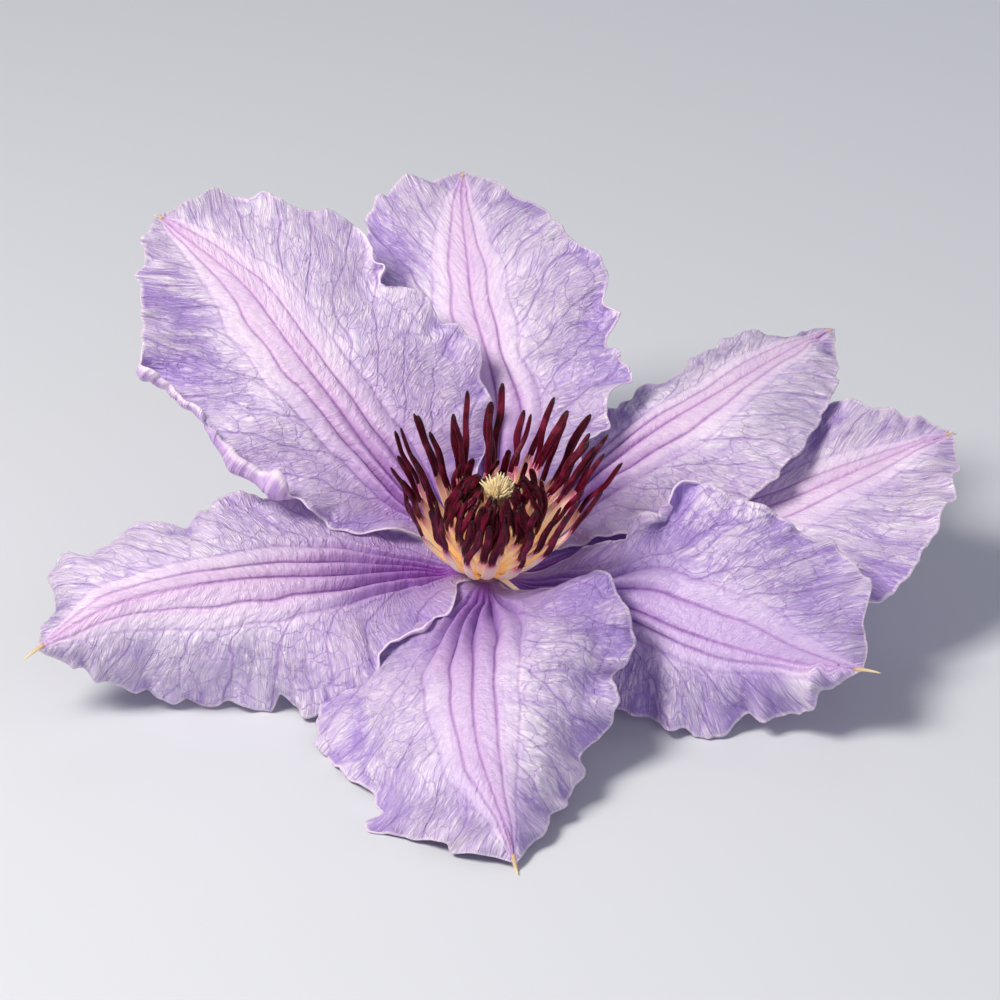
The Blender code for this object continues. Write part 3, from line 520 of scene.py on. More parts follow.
def petal_upper():
    """Upper face of a sepal: thin living tissue with a silky cuticle.

    The eye reads very pale lilac, a pinker bar that deepens to purple at the claw, the purple there partly
    painted shade under the boss, and fine purple veins. Thousands of creases carry painted bluish shade in
    their hollows, valleys and pits, and a painted highlight runs along the margin. The cells scatter light,
    and a painted violet glow keeps the shade soft and bright.
    """
    material, tree, shader = new_material("sepal silk tissue upper")
    _, place, crease, crease_parts, _, net = read_places(tree)
    across = add(tree, "ShaderNodeMath", {0: place["X"]}, operation="ABSOLUTE")[0]

    # Distances in mm to the nearest main vein and the nearest side vein.
    off_vein = add(tree, "ShaderNodeMath", {0: across, 1: VEIN_STEP / 2}, operation="PINGPONG")[0]
    off_vein = add(tree, "ShaderNodeMath", {0: off_vein, 1: place["Z"]}, operation="MULTIPLY")[0]
    off_side = add(tree, "ShaderNodeMath", {0: net["X"], 1: 0.5}, operation="PINGPONG")[0]
    off_side = add(tree, "ShaderNodeMath", {0: off_side, 1: LATERAL_SPACING * LATERAL_SLANT},
                   operation="MULTIPLY")[0]

    # The net of small veins between them, 2 to 3 mm across.
    stretched = add(tree, "ShaderNodeMapping", {"Vector": crease, "Scale": (0.34, 0.46, 0.0)})[0]
    bent = add(tree, "ShaderNodeTexNoise", {"Vector": stretched, "Scale": 2.2, "Detail": 2.0})["Color"]
    stretched = add(tree, "ShaderNodeVectorMath", {0: bent, 1: (0.6, 0.6, 0.0), 2: stretched},
                    operation="MULTIPLY_ADD")[0]
    cells = add(tree, "ShaderNodeTexVoronoi", {"Vector": stretched, "Scale": 1.0},
                feature="DISTANCE_TO_EDGE")[0]

    # Creases about 0.5 mm apart that run out to the margin, finer ones across the bar, and small blisters.
    beyond = add(tree, "ShaderNodeMapRange", {0: across, 1: 0.26, 2: 0.40})[0]
    fine_at = add(tree, "ShaderNodeMapping", {"Vector": crease, "Scale": (0.34, 2.3, 0.0)})[0]
    fine = add(tree, "ShaderNodeTexNoise",
               {"Vector": fine_at, "Scale": 1.0, "Detail": 3.0, "Roughness": 0.6, "Distortion": 0.45})[0]
    bar_at = add(tree, "ShaderNodeMapping", {"Vector": crease, "Scale": (0.9, 2.3, 0.0)})[0]
    bar_fine = add(tree, "ShaderNodeTexNoise", {"Vector": bar_at, "Scale": 1.0, "Detail": 2.0})[0]
    crinkle = add(tree, "ShaderNodeMix", {0: beyond, 2: bar_fine, 3: fine}, data_type="FLOAT")[0]
    crinkle = add(tree, "ShaderNodeMath", {0: crinkle, 1: 0.5}, operation="SUBTRACT")[0]
    crinkle = add(tree, "ShaderNodeMath", {0: crinkle}, operation="ABSOLUTE")[0]
    blister_at = add(tree, "ShaderNodeMapping", {"Vector": crease, "Scale": (0.75, 0.95, 0.0)})[0]
    blister = add(tree, "ShaderNodeTexVoronoi", {"Vector": blister_at, "Scale": 1.0, "Smoothness": 0.35},
                  feature="SMOOTH_F1")[0]
    patch = add(tree, "ShaderNodeTexNoise", {"Vector": crease, "Scale": 0.09, "Detail": 2.0})[0]

    # The creases keep to the outer half of the blade; the inner half is smooth between its veins.
    outer = add(tree, "ShaderNodeMath", {0: patch, 1: 0.45, 2: across}, operation="MULTIPLY_ADD")[0]

    # How strongly each of these shows: value, where it starts and ends, and its strength at both.
    shows = {}
    for name, value, low, high, at_low, at_high in (
        ("main vein", off_vein, 0.0, 0.48, 1.0, 0.0),
        ("within the bar", across, 2.1 * VEIN_STEP, 2.4 * VEIN_STEP, 1.0, 0.0),
        ("outermost vein", across, 1.3 * VEIN_STEP, 1.7 * VEIN_STEP, 1.0, 0.5),
        ("towards the tip", place["Y"], 0.25, 0.85, 1.0, 0.45),
        ("vein flush", off_vein, 0.10, 1.60, 1.0, 0.60),
        ("side vein", off_side, 0.0, 0.24, 1.0, 0.0),
        ("net", cells, 0.0, 0.048, 1.0, 0.0),
        ("creased", outer, 0.50, 0.86, 0.36, 1.0),
        ("patch", patch, 0.35, 0.65, 0.0, 1.0),
        ("bar", across, 0.04, 0.46, 0.64, 0.0),
        # The claw's purple is partly its own pigment and partly painted shade under the boss.
        ("claw", place["Y"], 0.03, 0.58, 1.0, 0.0),
        ("claw across", across, 0.10, 0.95, 1.0, 0.50),
        # Painted shade: violet in the hollows and troughs.
        ("hollow_shade", crease_parts["Z"], 0.0, 0.95, 0.0, 0.64),
        ("hollow streak", crease_parts["Z"], -0.2, 0.7, 0.35, 1.0),
        # Painted shade in the fine crease valleys and in the blisters' pits.
        ("valley_shade", crinkle, 0.01, 0.10, 0.75, 0.0),
        ("pit", blister, 0.35, 0.65, 0.0, 0.26),
        # Painted highlight: the margin made paler where its edge catches the light.
        ("rim", net["Z"], 0.15, 0.55, 0.7, 0.0),
    ):
        shows[name] = add(tree, "ShaderNodeMapRange", {0: value, 1: low, 2: high, 3: at_low, 4: at_high},
                          interpolation_type="SMOOTHSTEP")[0]
    for name, factor in (
        ("main vein", shows["within the bar"]),
        ("main vein", shows["outermost vein"]),
        ("main vein", shows["towards the tip"]),
        ("side vein", beyond),
        ("net", beyond),
        ("claw", shows["claw across"]),
        ("bar", shows["vein flush"]),
        ("valley_shade", shows["hollow streak"]),
        ("valley_shade", shows["creased"]),
        ("pit", beyond),
    ):
        shows[name] = add(tree, "ShaderNodeMath", {0: shows[name], 1: factor}, operation="MULTIPLY")[0]

    # Colours laid over the pale ground, each by its share: pigment, and painted shade and highlight.
    colour = linear("#F4E8F6")
    for name, strength, above in (
        ("patch", 1.0, "#E9DAF0"),
        ("bar", 1.0, "#DEB0DC"),
        # Partly pigment, partly painted shade under the boss.
        ("claw", 1.0, "#802C9E"),
        # Painted violet shade in the hollows, crease valleys and pits.
        ("hollow_shade", 1.0, "#A98BD2"),
        ("valley_shade", 1.0, "#9A7CC6"),
        ("pit", 1.0, "#A98CD0"),
        ("net", 0.44, "#9E78C6"),
        ("side vein", 0.50, "#8E60B8"),
        ("main vein", 0.70, "#8E46AC"),
        # Painted highlight along the margin.
        ("rim", 1.0, "#F3E4F2"),
    ):
        share = shows[name]
        if strength < 1:
            share = add(tree, "ShaderNodeMath", {0: share, 1: strength}, operation="MULTIPLY")[0]
        colour = add(tree, "ShaderNodeMix", {0: share, 6: colour, 7: linear(above)}, data_type="RGBA")[2]

    # Relief too fine for the mesh, in mm.
    height = add(tree, "ShaderNodeMath", {0: crinkle, 1: shows["creased"]}, operation="MULTIPLY")[0]
    for value, depth in ((blister, 0.24), (shows["net"], 0.08), (shows["side vein"], 0.12),
                         (shows["main vein"], 0.18)):
        height = add(tree, "ShaderNodeMath", {0: value, 1: -depth, 2: height}, operation="MULTIPLY_ADD")[0]
    finish_material(tree, shader, colour, tissue_numbers(0.42), height, 1.0)
    return material


def tissue_numbers(roughness):
    """The cuticle's soft shine, the light scattered in the sheet, and a painted violet glow."""
    return {
        "Roughness": roughness,
        "Specular IOR Level": 0.5,
        "Sheen Weight": 0.15,
        "Sheen Roughness": 0.4,
        # Painted glow: a faint violet emission that turns the grey shade violet.
        "Emission Color": linear("#8450CC"),
        "Emission Strength": 0.04,
        "Subsurface Weight": 0.28,
        "Subsurface Radius": (1.0, 0.7, 1.1),
        "Subsurface Scale": 0.5 * MM,
    }


def petal_under():
    """Lower face of a sepal: duller and pinker, with a greenish bar, and ribs under the upper furrows."""
    material, tree, shader = new_material("sepal silk tissue lower")
    _, place, crease, crease_parts, _, net = read_places(tree)
    across = add(tree, "ShaderNodeMath", {0: place["X"]}, operation="ABSOLUTE")[0]
    off_vein = add(tree, "ShaderNodeMath", {0: across, 1: VEIN_STEP / 2}, operation="PINGPONG")[0]
    off_vein = add(tree, "ShaderNodeMath", {0: off_vein, 1: place["Z"]}, operation="MULTIPLY")[0]
    fine_at = add(tree, "ShaderNodeMapping", {"Vector": crease, "Scale": (0.34, 1.9, 0.0)})[0]
    fine = add(tree, "ShaderNodeTexNoise",
               {"Vector": fine_at, "Scale": 1.0, "Detail": 3.0, "Distortion": 0.3})[0]
    inside = add(tree, "ShaderNodeMapRange", {0: across, 1: 0.33, 2: 0.42, 3: 1.0, 4: 0.0})[0]
    colour, shares = linear("#DCC3E2"), {}
    for name, value, low, high, at_low, at_high, above in (
        # Painted shade in the creases and hollows.
        ("crease", fine, 0.36, 0.62, 0.85, 0.0, "#A987C6"),
        ("hollow_shade", crease_parts["Z"], -0.6, 0.0, 0.6, 0.0, "#A583C4"),
        ("bar", across, 0.22, 0.42, 0.7, 0.0, "#CBB4C8"),
        ("claw", place["Y"], 0.02, 0.50, 0.85, 0.0, "#8E9C66"),
        ("rib", off_vein, 0.05, 0.50, 0.5, 0.0, "#A58A9E"),
        # Painted highlight along the margin.
        ("rim", net["Z"], 0.10, 0.45, 0.8, 0.0, "#F3E2F0"),
    ):
        share = add(tree, "ShaderNodeMapRange", {0: value, 1: low, 2: high, 3: at_low, 4: at_high},
                    interpolation_type="SMOOTHSTEP")[0]
        if name in ("claw", "rib"):
            share = add(tree, "ShaderNodeMath", {0: share, 1: inside}, operation="MULTIPLY")[0]
        colour = add(tree, "ShaderNodeMix", {0: share, 6: colour, 7: linear(above)}, data_type="RGBA")[2]
        shares[name] = share
    height = add(tree, "ShaderNodeMath", {0: fine, 1: 0.80}, operation="MULTIPLY")[0]
    height = add(tree, "ShaderNodeMath", {0: shares["rib"], 1: 0.40, 2: height},
                 operation="MULTIPLY_ADD")[0]
    finish_material(tree, shader, colour, tissue_numbers(0.5), height, 1.0)
    return material


def petal_rim_highlight():
    """The sheet's cut edge, painted pale as a highlight where it catches the light."""
    material, tree, shader = new_material("sepal rim painted highlight")
    crease = add(tree, "ShaderNodeAttribute", {}, attribute_name="crease")
    speck = add(tree, "ShaderNodeTexNoise", {"Vector": crease["Vector"], "Scale": 0.8, "Detail": 2.0})[0]
    colour = add(tree, "ShaderNodeMix", {0: speck, 6: linear("#F6EAF4"), 7: linear("#E2C9E6")},
                 data_type="RGBA")[2]
    finish_material(tree, shader, colour, tissue_numbers(0.42))
    return material


def anther_skin():
    """Dark maroon pollen sacs: a waxy skin with a satin shine, lengthwise furrows and a fine grain."""
    material, tree, shader = new_material("anther maroon skin")
    place = add(tree, "ShaderNodeAttribute", {}, attribute_name="place")["Vector"]
    along = add(tree, "ShaderNodeSeparateXYZ", {"Vector": place})["X"]
    stripe_at = add(tree, "ShaderNodeMapping", {"Vector": place, "Scale": (5.0, 9.0, 1.0)})[0]
    stripe = add(tree, "ShaderNodeTexNoise", {"Vector": stripe_at, "Scale": 1.0, "Detail": 3.0})[0]
    where = add(tree, "ShaderNodeTexCoord", {})["Object"]
    patch = add(tree, "ShaderNodeTexNoise", {"Vector": where, "Scale": 420.0, "Detail": 1.0})[0]
    grain = add(tree, "ShaderNodeTexNoise", {"Vector": where, "Scale": 4500.0, "Detail": 2.0})[0]
    colour = lay_over(tree, linear("#3C0312"), (
        (stripe, 0.42, 0.66, 0.0, 0.85, "#7A0A30"),
        (patch, 0.50, 0.72, 0.0, 0.55, "#93274A"),
        (along, 0.82, 1.00, 0.0, 0.8, "#1E040B"),
        (along, 0.00, 0.10, 0.9, 0.0, "#B2246E"),
    ))
    height = add(tree, "ShaderNodeMath", {0: stripe, 1: 1.6, 2: grain}, operation="MULTIPLY_ADD")[0]
    finish_material(tree, shader, colour, {"Roughness": 0.30, "Specular IOR Level": 0.26}, height, 0.10, 0.8)
    return material


def filament_tissue():
    """Flat cream stalks of the stamens, with a painted warm glow that lifts them where they lie in shade.

    They are faintly ribbed, golden low down and magenta at the top.
    """
    material, tree, shader = new_material("filament cream tissue")
    place = add(tree, "ShaderNodeAttribute", {}, attribute_name="place")["Vector"]
    along = add(tree, "ShaderNodeSeparateXYZ", {"Vector": place})["X"]
    stripe_at = add(tree, "ShaderNodeMapping", {"Vector": place, "Scale": (2.0, 7.0, 1.0)})[0]
    stripe = add(tree, "ShaderNodeTexNoise", {"Vector": stripe_at, "Scale": 1.3, "Detail": 3.0})[0]
    where = add(tree, "ShaderNodeTexCoord", {})["Object"]
    patch = add(tree, "ShaderNodeTexNoise", {"Vector": where, "Scale": 260.0, "Detail": 1.0})[0]
    reach = add(tree, "ShaderNodeMath", {0: stripe, 1: 0.10, 2: along}, operation="MULTIPLY_ADD")[0]
    colour = lay_over(tree, linear("#FFF4DC"), (
        (stripe, 0.40, 0.70, 0.0, 0.8, "#FFDFAE"),
        (patch, 0.45, 0.65, 0.0, 0.5, "#F9D6CE"),
        (along, 0.05, 0.60, 0.70, 0.0, "#F8C25E"),
        (reach, 0.74, 0.98, 0.0, 0.7, "#E890BE"),
        (reach, 0.90, 1.04, 0.0, 1.0, "#B2246E"),
    ))
    finish_material(tree, shader, colour, {
        "Roughness": 0.45,
        # Painted glow: a warm emission that brightens the filaments in their shade.
        "Emission Color": linear("#FFD6A4"),
        "Emission Strength": 0.13,
        "Subsurface Weight": 0.35,
        "Subsurface Radius": (1.2, 0.8, 0.5),
        "Subsurface Scale": 0.5 * MM,
    }, stripe, 0.10, 0.7)
    return material


def style_silk():
    """Pale straw styles covered in silky hairs: matt, and warmer between them than at their tips."""
    material, tree, shader = new_material("style straw silk")
    place = add(tree, "ShaderNodeAttribute", {}, attribute_name="place")
    parts = add(tree, "ShaderNodeSeparateXYZ", {"Vector": place["Vector"]})
    speck = add(tree, "ShaderNodeTexNoise", {"Vector": place["Vector"], "Scale": 6.0, "Detail": 2.0})[0]
    height = add(tree, "ShaderNodeMath", {0: speck, 1: 0.25, 2: parts["X"]}, operation="MULTIPLY_ADD")[0]
    share = add(tree, "ShaderNodeMapRange", {0: height, 1: 0.55, 2: 1.05, 3: 0.0, 4: 1.0})[0]
    colour = add(tree, "ShaderNodeMix", {0: share, 6: linear("#C08A4A"), 7: linear("#F4DDAE")},
                 data_type="RGBA")[2]
    finish_material(tree, shader, colour, {
        "Roughness": 0.65,
        "Sheen Weight": 0.4,
        "Subsurface Weight": 0.2,
        "Subsurface Radius": (1.2, 0.8, 0.4),
        "Subsurface Scale": 0.4 * MM,
    })
    return material


def stalk_skin():
    """Green ribbed stalk, flushed purple-brown on its ribs, with a dull waxy skin."""
    material, tree, shader = new_material("stalk green skin")
    place = add(tree, "ShaderNodeAttribute", {}, attribute_name="place")
    parts = add(tree, "ShaderNodeSeparateXYZ", {"Vector": place["Vector"]})
    where = add(tree, "ShaderNodeTexCoord", {})["Object"]
    patch = add(tree, "ShaderNodeTexNoise", {"Vector": where, "Scale": 260.0, "Detail": 3.0})[0]
    colour = add(tree, "ShaderNodeMix", {0: patch, 6: linear("#5E7A34"), 7: linear("#8CA257")},
                 data_type="RGBA")[2]
    neck = add(tree, "ShaderNodeMapRange", {0: parts["X"], 1: 0.105, 2: 0.135, 3: 1.0, 4: 0.0})[0]
    colour = add(tree, "ShaderNodeMix", {0: neck, 6: colour, 7: linear("#B98A9E")}, data_type="RGBA")[2]
    flush = add(tree, "ShaderNodeMath", {0: parts["Z"], 1: patch}, operation="MULTIPLY")[0]
    flush = add(tree, "ShaderNodeMapRange", {0: flush, 1: 0.25, 2: 0.60, 3: 0.0, 4: 0.8})[0]
    colour = add(tree, "ShaderNodeMix", {0: flush, 6: colour, 7: linear("#6A4048")}, data_type="RGBA")[2]
    fine = add(tree, "ShaderNodeTexNoise", {"Vector": where, "Scale": 2600.0, "Detail": 3.0})[0]
    finish_material(tree, shader, colour, {"Roughness": 0.55, "Sheen Weight": 0.2}, fine, 0.1, 0.5)
    return material


def cut_pith():
    """The freshly cut end of the stalk: a pale wet pith inside a green ring."""
    material, tree, shader = new_material("stalk cut pith")
    where = add(tree, "ShaderNodeTexCoord", {})["Object"]
    dots = add(tree, "ShaderNodeTexVoronoi", {"Vector": where, "Scale": 2600.0})[0]
    colour = add(tree, "ShaderNodeMix", {0: dots, 6: linear("#C9D29A"), 7: linear("#E9E6C4")},
                 data_type="RGBA")[2]
    finish_material(tree, shader, colour, {"Roughness": 0.4})
    return material


def down_hair():
    """Short colourless hairs on the stalk that catch the light along its outline."""
    material, tree, shader = new_material("stalk pale down")
    where = add(tree, "ShaderNodeTexCoord", {})["Object"]
    speck = add(tree, "ShaderNodeTexNoise", {"Vector": where, "Scale": 900.0})[0]
    colour = add(tree, "ShaderNodeMix", {0: speck, 6: linear("#D9DCC0"), 7: linear("#F2F1E4")},
                 data_type="RGBA")[2]
    finish_material(tree, shader, colour, {"Roughness": 0.6})
    return material


def spine_tissue():
    """The hard little point at a sepal's tip: waxy, cream yellow, browner where it leaves the blade."""
    material, tree, shader = new_material("sepal spine tissue")
    place = add(tree, "ShaderNodeAttribute", {}, attribute_name="place")
    parts = add(tree, "ShaderNodeSeparateXYZ", {"Vector": place["Vector"]})
    colour = add(tree, "ShaderNodeMix", {0: parts["X"], 6: linear("#C9A57E"), 7: linear("#EFE3B4")},
                 data_type="RGBA")[2]
    finish_material(tree, shader, colour, {"Roughness": 0.45})
    return material


def columns(*values):
    """One row per point from arrays or plain numbers."""
    return np.stack(np.broadcast_arrays(*values), axis=1)


def shell(rings):
    """Points and faces of a closed tube through rings of points, each ring an array of the same length."""
    count = len(rings[0])
    points = np.concatenate(rings)
    faces = []
    for ring in range(len(rings) - 1):
        for k in range(count):
            a, b = ring * count + k, ring * count + (k + 1) % count
            faces.append((a, b, b + count, a + count))
    faces.append(tuple(range(count)))
    faces.append(tuple(range(len(points) - count, len(points))))
    return points, faces


def loft(path, sizes, sides, wide, cup=0.0, furrow=0.0, turn=0.0):
    """Points and faces of a closed tube along a path, each of its rings an oval (width, depth).

    cup bends its edges inwards, furrow grooves both faces, and turn twists it by that many radians.
    """
    heading = np.gradient(path, axis=0)
    rings, turns = [], 2 * math.pi * np.arange(sides) / sides
    x = np.cos(turns)
    y = np.sin(turns) * (1 - furrow * np.exp(-(x / 0.22) ** 2))
    y = y * (1 + 0.25 * furrow * np.exp(-((np.abs(x) - 0.55) / 0.2) ** 2))
    for step, (centre, ahead, (width, depth)) in enumerate(zip(path, heading, sizes)):
        ahead = ahead / np.linalg.norm(ahead)
        across = np.array(wide) - ahead * np.dot(ahead, wide)
        across /= np.linalg.norm(across)
        deep = np.cross(ahead, across)
        by = turn * step / (len(path) - 1)
        across, deep = (across * math.cos(by) + deep * math.sin(by),
                        deep * math.cos(by) - across * math.sin(by))
        lift = cup * width * x ** 2
        rings.append(centre + np.outer(x, across) * width / 2 + np.outer(y * depth / 2 + lift, deep))
    return shell(rings)


def turned(points, degrees):
    """Points of a sepal's own frame, in the flower's frame."""
    turn = math.radians(degrees)
    x = points[..., 0] * math.cos(turn) - points[..., 1] * math.sin(turn)
    y = points[..., 0] * math.sin(turn) + points[..., 1] * math.cos(turn)
    return np.stack([x, y, points[..., 2]], axis=-1)


def mesh_piece(name, parts, materials, stands_for=()):
    """One piece from parts: points in the flower's frame in mm, faces, place per point, material number."""
    points, faces, places, numbers = [], [], [], []
    offset = 0
    for part_points, part_faces, part_places, number in parts:
        points.append(part_points)
        places.append(part_places)
        faces += [tuple(i + offset for i in face) for face in part_faces]
        numbers += [number] * len(part_faces)
        offset += len(part_points)
    mesh = bpy.data.meshes.new(name)
    mesh.from_pydata([tuple(p) for p in in_row(np.concatenate(points))], [], faces)
    mesh.polygons.foreach_set("material_index", numbers)
    store(mesh, "place", np.concatenate(places))
    shape = bmesh.new()
    shape.from_mesh(mesh)
    bmesh.ops.recalc_face_normals(shape, faces=shape.faces)
    shape.to_mesh(mesh)
    shape.free()
    for material in materials:
        mesh.materials.append(material)
    mesh.polygons.foreach_set("use_smooth", [True] * len(mesh.polygons))
    piece = bpy.data.objects.new(name, mesh)
    bpy.context.scene.collection.objects.link(piece)
    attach(piece, "root")
    if stands_for:
        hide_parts(*stands_for)
    return piece


def leaning(points):
    """Points of the boss, moved over by its lean."""
    points = np.array(points, float)
    points[:, 0] += BOSS_LEAN * np.maximum(points[:, 2] - BOSS_FOOT, 0)
    return points


def whorl_profile(whorl, azimuth):
    """The side view of a stamen of this whorl that grows in this direction."""
    front = max(0.0, -math.sin(azimuth)) ** 1.5
    return [(r + (front_r - r) * front, z + (front_z - z) * front)
            for (r, z), (front_r, front_z) in zip(WHORLS[whorl], FRONT_WHORLS[whorl])]


def stamen_parts(profile, azimuth, reach, height, twist, rng, wide_by=1.0, anther_by=1.0):
    """A flat filament and the ribbed anther on it, as two closed shells that meet inside each other."""
    radial = [(profile[0][0] + (r - profile[0][0]) * reach, 0, profile[0][1] + (z - profile[0][1]) * height)
              for r, z in profile]
    path = rail(radial, STAMEN_STEPS)
    share = np.linspace(0, 1, STAMEN_STEPS + 1)
    upper = ramp(0.45, 1.0, share)
    angle = azimuth + twist * share ** 2
    sway = rng.uniform(-0.5, 0.5) * np.sin(share * math.pi * 1.6) * share
    sway = sway + rng.uniform(-0.9, 0.9) * upper + rng.uniform(-0.35, 0.35) * np.sin(upper * 2 * math.pi)
    out = path[:, 0] + rng.uniform(-0.8, 0.5) * upper
    out = out + rng.uniform(-0.35, 0.35) * np.sin(upper * 2 * math.pi)
    path = leaning(np.stack([out * np.cos(angle) - sway * np.sin(angle),
                             out * np.sin(angle) + sway * np.cos(angle), path[:, 2]], axis=1))
    facing = azimuth + rng.uniform(-0.4, 0.4)
    wide = np.array((-math.sin(facing), math.cos(facing), 0))
    starts = FILAMENT_SHARE + rng.uniform(-0.03, 0.06)
    split = int(starts * STAMEN_STEPS)
    low, high = share[:split + 2], share[split - 1:]

    room = 2 * math.pi * np.hypot(path[:split + 2, 0], path[:split + 2, 1]) / STAMENS_PER_WHORL * 1.1 + 0.2
    width = np.interp(low, [0, 0.10, 0.28, 0.45, starts + 0.03], [1.2, 1.9, 2.3, 2.0, 1.1]) * wide_by
    depth = np.interp(low, [0, 0.2, 0.45, 0.6], [0.6, 0.38, 0.36, 0.42])
    filament, filament_faces = loft(path[:split + 2], zip(np.minimum(width, room), depth),
                                    FILAMENT_SIDES, wide, cup=0.13)
    around = np.tile(np.arange(FILAMENT_SIDES) / FILAMENT_SIDES, len(low))
    filament_place = columns(np.repeat(low / starts, FILAMENT_SIDES), around + rng.random(), 0.0)

    part = (high - high[0]) / (1 - high[0])
    swell = 1 + 0.10 * noise(part * 5, 0 * part + rng.random() * 50, 3)
    size = anther_by * rng.uniform(0.62, 1.10)
    stations = [0, 0.05, 0.15, 0.6, 0.88, 0.97, 1]
    width = np.interp(part, stations, [0.8, 1.1, 1.3, 1.3, 1.15, 0.85, 0.40]) * size
    depth = np.interp(part, stations, [0.40, 0.62, 0.78, 0.76, 0.70, 0.52, 0.26]) * size
    anther, anther_faces = loft(path[split - 1:], zip(width * swell, depth * swell), ANTHER_SIDES, wide,
                                furrow=0.55, turn=rng.uniform(-0.8, 0.8))
    around = np.tile(np.arange(ANTHER_SIDES) / ANTHER_SIDES, len(part))
    anther_place = columns(np.repeat(part, ANTHER_SIDES), around * 2 + rng.random() * 9, 0.0)
    return [(filament, filament_faces, filament_place, 0), (anther, anther_faces, anther_place, 1)]


def make_stamens(materials):
    """The 48 long stamens, each where its CAD solid is: the same draws in the same order."""
    rng = random.Random(STAMEN_SEED)
    own = random.Random(STAMEN_SEED + 20)
    number = 0
    for whorl in range(len(WHORLS)):
        for k in range(STAMENS_PER_WHORL):
            number += 1
            azimuth = 2 * math.pi * (k + whorl / 3) / STAMENS_PER_WHORL + rng.uniform(-0.02, 0.02)
            towards_right = 0.10 * max(0, math.cos(azimuth))
            reach = 1 + towards_right + rng.uniform(-0.06, 0.06)
            height = 1 + rng.uniform(-0.10, 0.06)
            twist = rng.uniform(-0.05, 0.05)
            parts = stamen_parts(whorl_profile(whorl, azimuth), azimuth, reach, height, twist, own)
            mesh_piece(f"long_stamen_{number:02d}", parts, materials, [f"stamen_{number:02d}"])


def make_more_stamens(materials):
    """The crowd that arches in over the styles, and a few more in the outer wall."""
    own = random.Random(STAMEN_SEED + 40)
    parts = []
    for ring, (count, profile) in enumerate(DOME):
        for k in range(count):
            azimuth = 2 * math.pi * (k + 0.4 * ring) / count + own.uniform(-0.10, 0.10)
            lower = 1 - 0.20 * max(0, math.sin(azimuth))
            parts += stamen_parts(profile, azimuth, 1 + own.uniform(-0.08, 0.08),
                                  lower + own.uniform(-0.12, 0.04), own.uniform(-0.3, 0.3), own,
                                  wide_by=0.65)
    mesh_piece("dome_stamens", parts, materials, ["inner_stamens"])

    parts = []
    for k in range(OUTER_EXTRA):
        azimuth = 2 * math.pi * (k + 0.5) / OUTER_EXTRA + own.uniform(-0.12, 0.12)
        outer, second = whorl_profile(0, azimuth), whorl_profile(1, azimuth)
        between = own.uniform(0.25, 0.75)
        profile = [(a + (c - a) * between, b + (d - b) * between) for (a, b), (c, d) in zip(outer, second)]
        parts += stamen_parts(profile, azimuth, 1 + own.uniform(-0.06, 0.06), 1 + own.uniform(-0.15, 0.08),
                              own.uniform(-0.08, 0.08), own)
    mesh_piece("wall_stamens", parts, materials)

    # One filament has lost its anther and droops from the foot of the boss.
    path = rail([(0.9, -3.0, 1.5), (2.2, -4.4, 1.9), (3.6, -5.6, 1.6), (5.0, -6.6, 1.1)], 16)
    widths = [(width, 0.34) for width in np.linspace(1.2, 0.6, len(path))]
    points, faces = loft(path, widths, FILAMENT_SIDES, (0.8, 0.6, 0), cup=0.1)
    place = columns(np.repeat(np.linspace(0.3, 0.6, len(path)), FILAMENT_SIDES), points[:, 0], 0.0)
    mesh_piece("dropped_filament", [(points, faces, place, 0)], materials[:1])


def make_styles(material):
    """The tuft: about ninety thin styles, parted at the top, with the silky hairs that fill the gaps."""
    rng = random.Random(31)
    parts = []
    for k in range(STYLES):
        spread = math.sqrt((k + 0.5) / STYLES)
        azimuth = k * GOLDEN_ANGLE + rng.uniform(-0.1, 0.1)
        top = 17.9 - 1.6 * spread ** 2 + rng.uniform(-0.35, 0.35)
        radius = [0.9 * spread, 1.0 * spread, 1.5 * spread,
                  2.3 * spread + rng.uniform(-0.1, 0.25) + 0.25 * spread]
        heights = [5.2, 10.0, 15.0, top]
        path = rail([(out * math.cos(azimuth), out * math.sin(azimuth), up)
                     for out, up in zip(radius, heights)], 12)
        bend = rng.uniform(0, 6.28)
        share = np.linspace(0, 1, 13)
        hook = 0.5 * ramp(0.8, 1.0, share)
        path[:, 0] += hook * math.cos(bend)
        path[:, 1] += hook * math.sin(bend)
        path = leaning(path)
        size = np.interp(share, [0, 0.7, 0.93, 1], [0.34, 0.30, 0.34, 0.12])
        points, faces = loft(path, zip(size, size), STYLE_SIDES, (1, 0.01, 0))
        place = columns(np.repeat(share, STYLE_SIDES), points[:, 0], points[:, 1])
        parts.append((points, faces, place, 0))
    for _ in range(SILKY_HAIRS):
        spread = math.sqrt(rng.random())
        azimuth = rng.uniform(0, 6.28)
        root = np.array((2.0 * spread * math.cos(azimuth), 2.0 * spread * math.sin(azimuth),
                         16.0 - 1.2 * spread))
        lean = np.array((rng.uniform(-0.5, 0.5), rng.uniform(-0.5, 0.5), 0)) + root * (0.18, 0.18, 0)
        tip = root + lean + (0, 0, rng.uniform(0.9, 1.7))
        path = leaning([root, (root + tip) / 2 + (0, 0, 0.1), tip])
        points, faces = loft(path, [(0.10, 0.10), (0.08, 0.08), (0.02, 0.02)], 3, (1, 0.01, 0))
        place = columns(np.repeat([0.8, 0.95, 1.05], 3), points[:, 0], points[:, 1])
        parts.append((points, faces, place, 0))
    mesh_piece("style_tuft", parts, [material], ["pistils"])


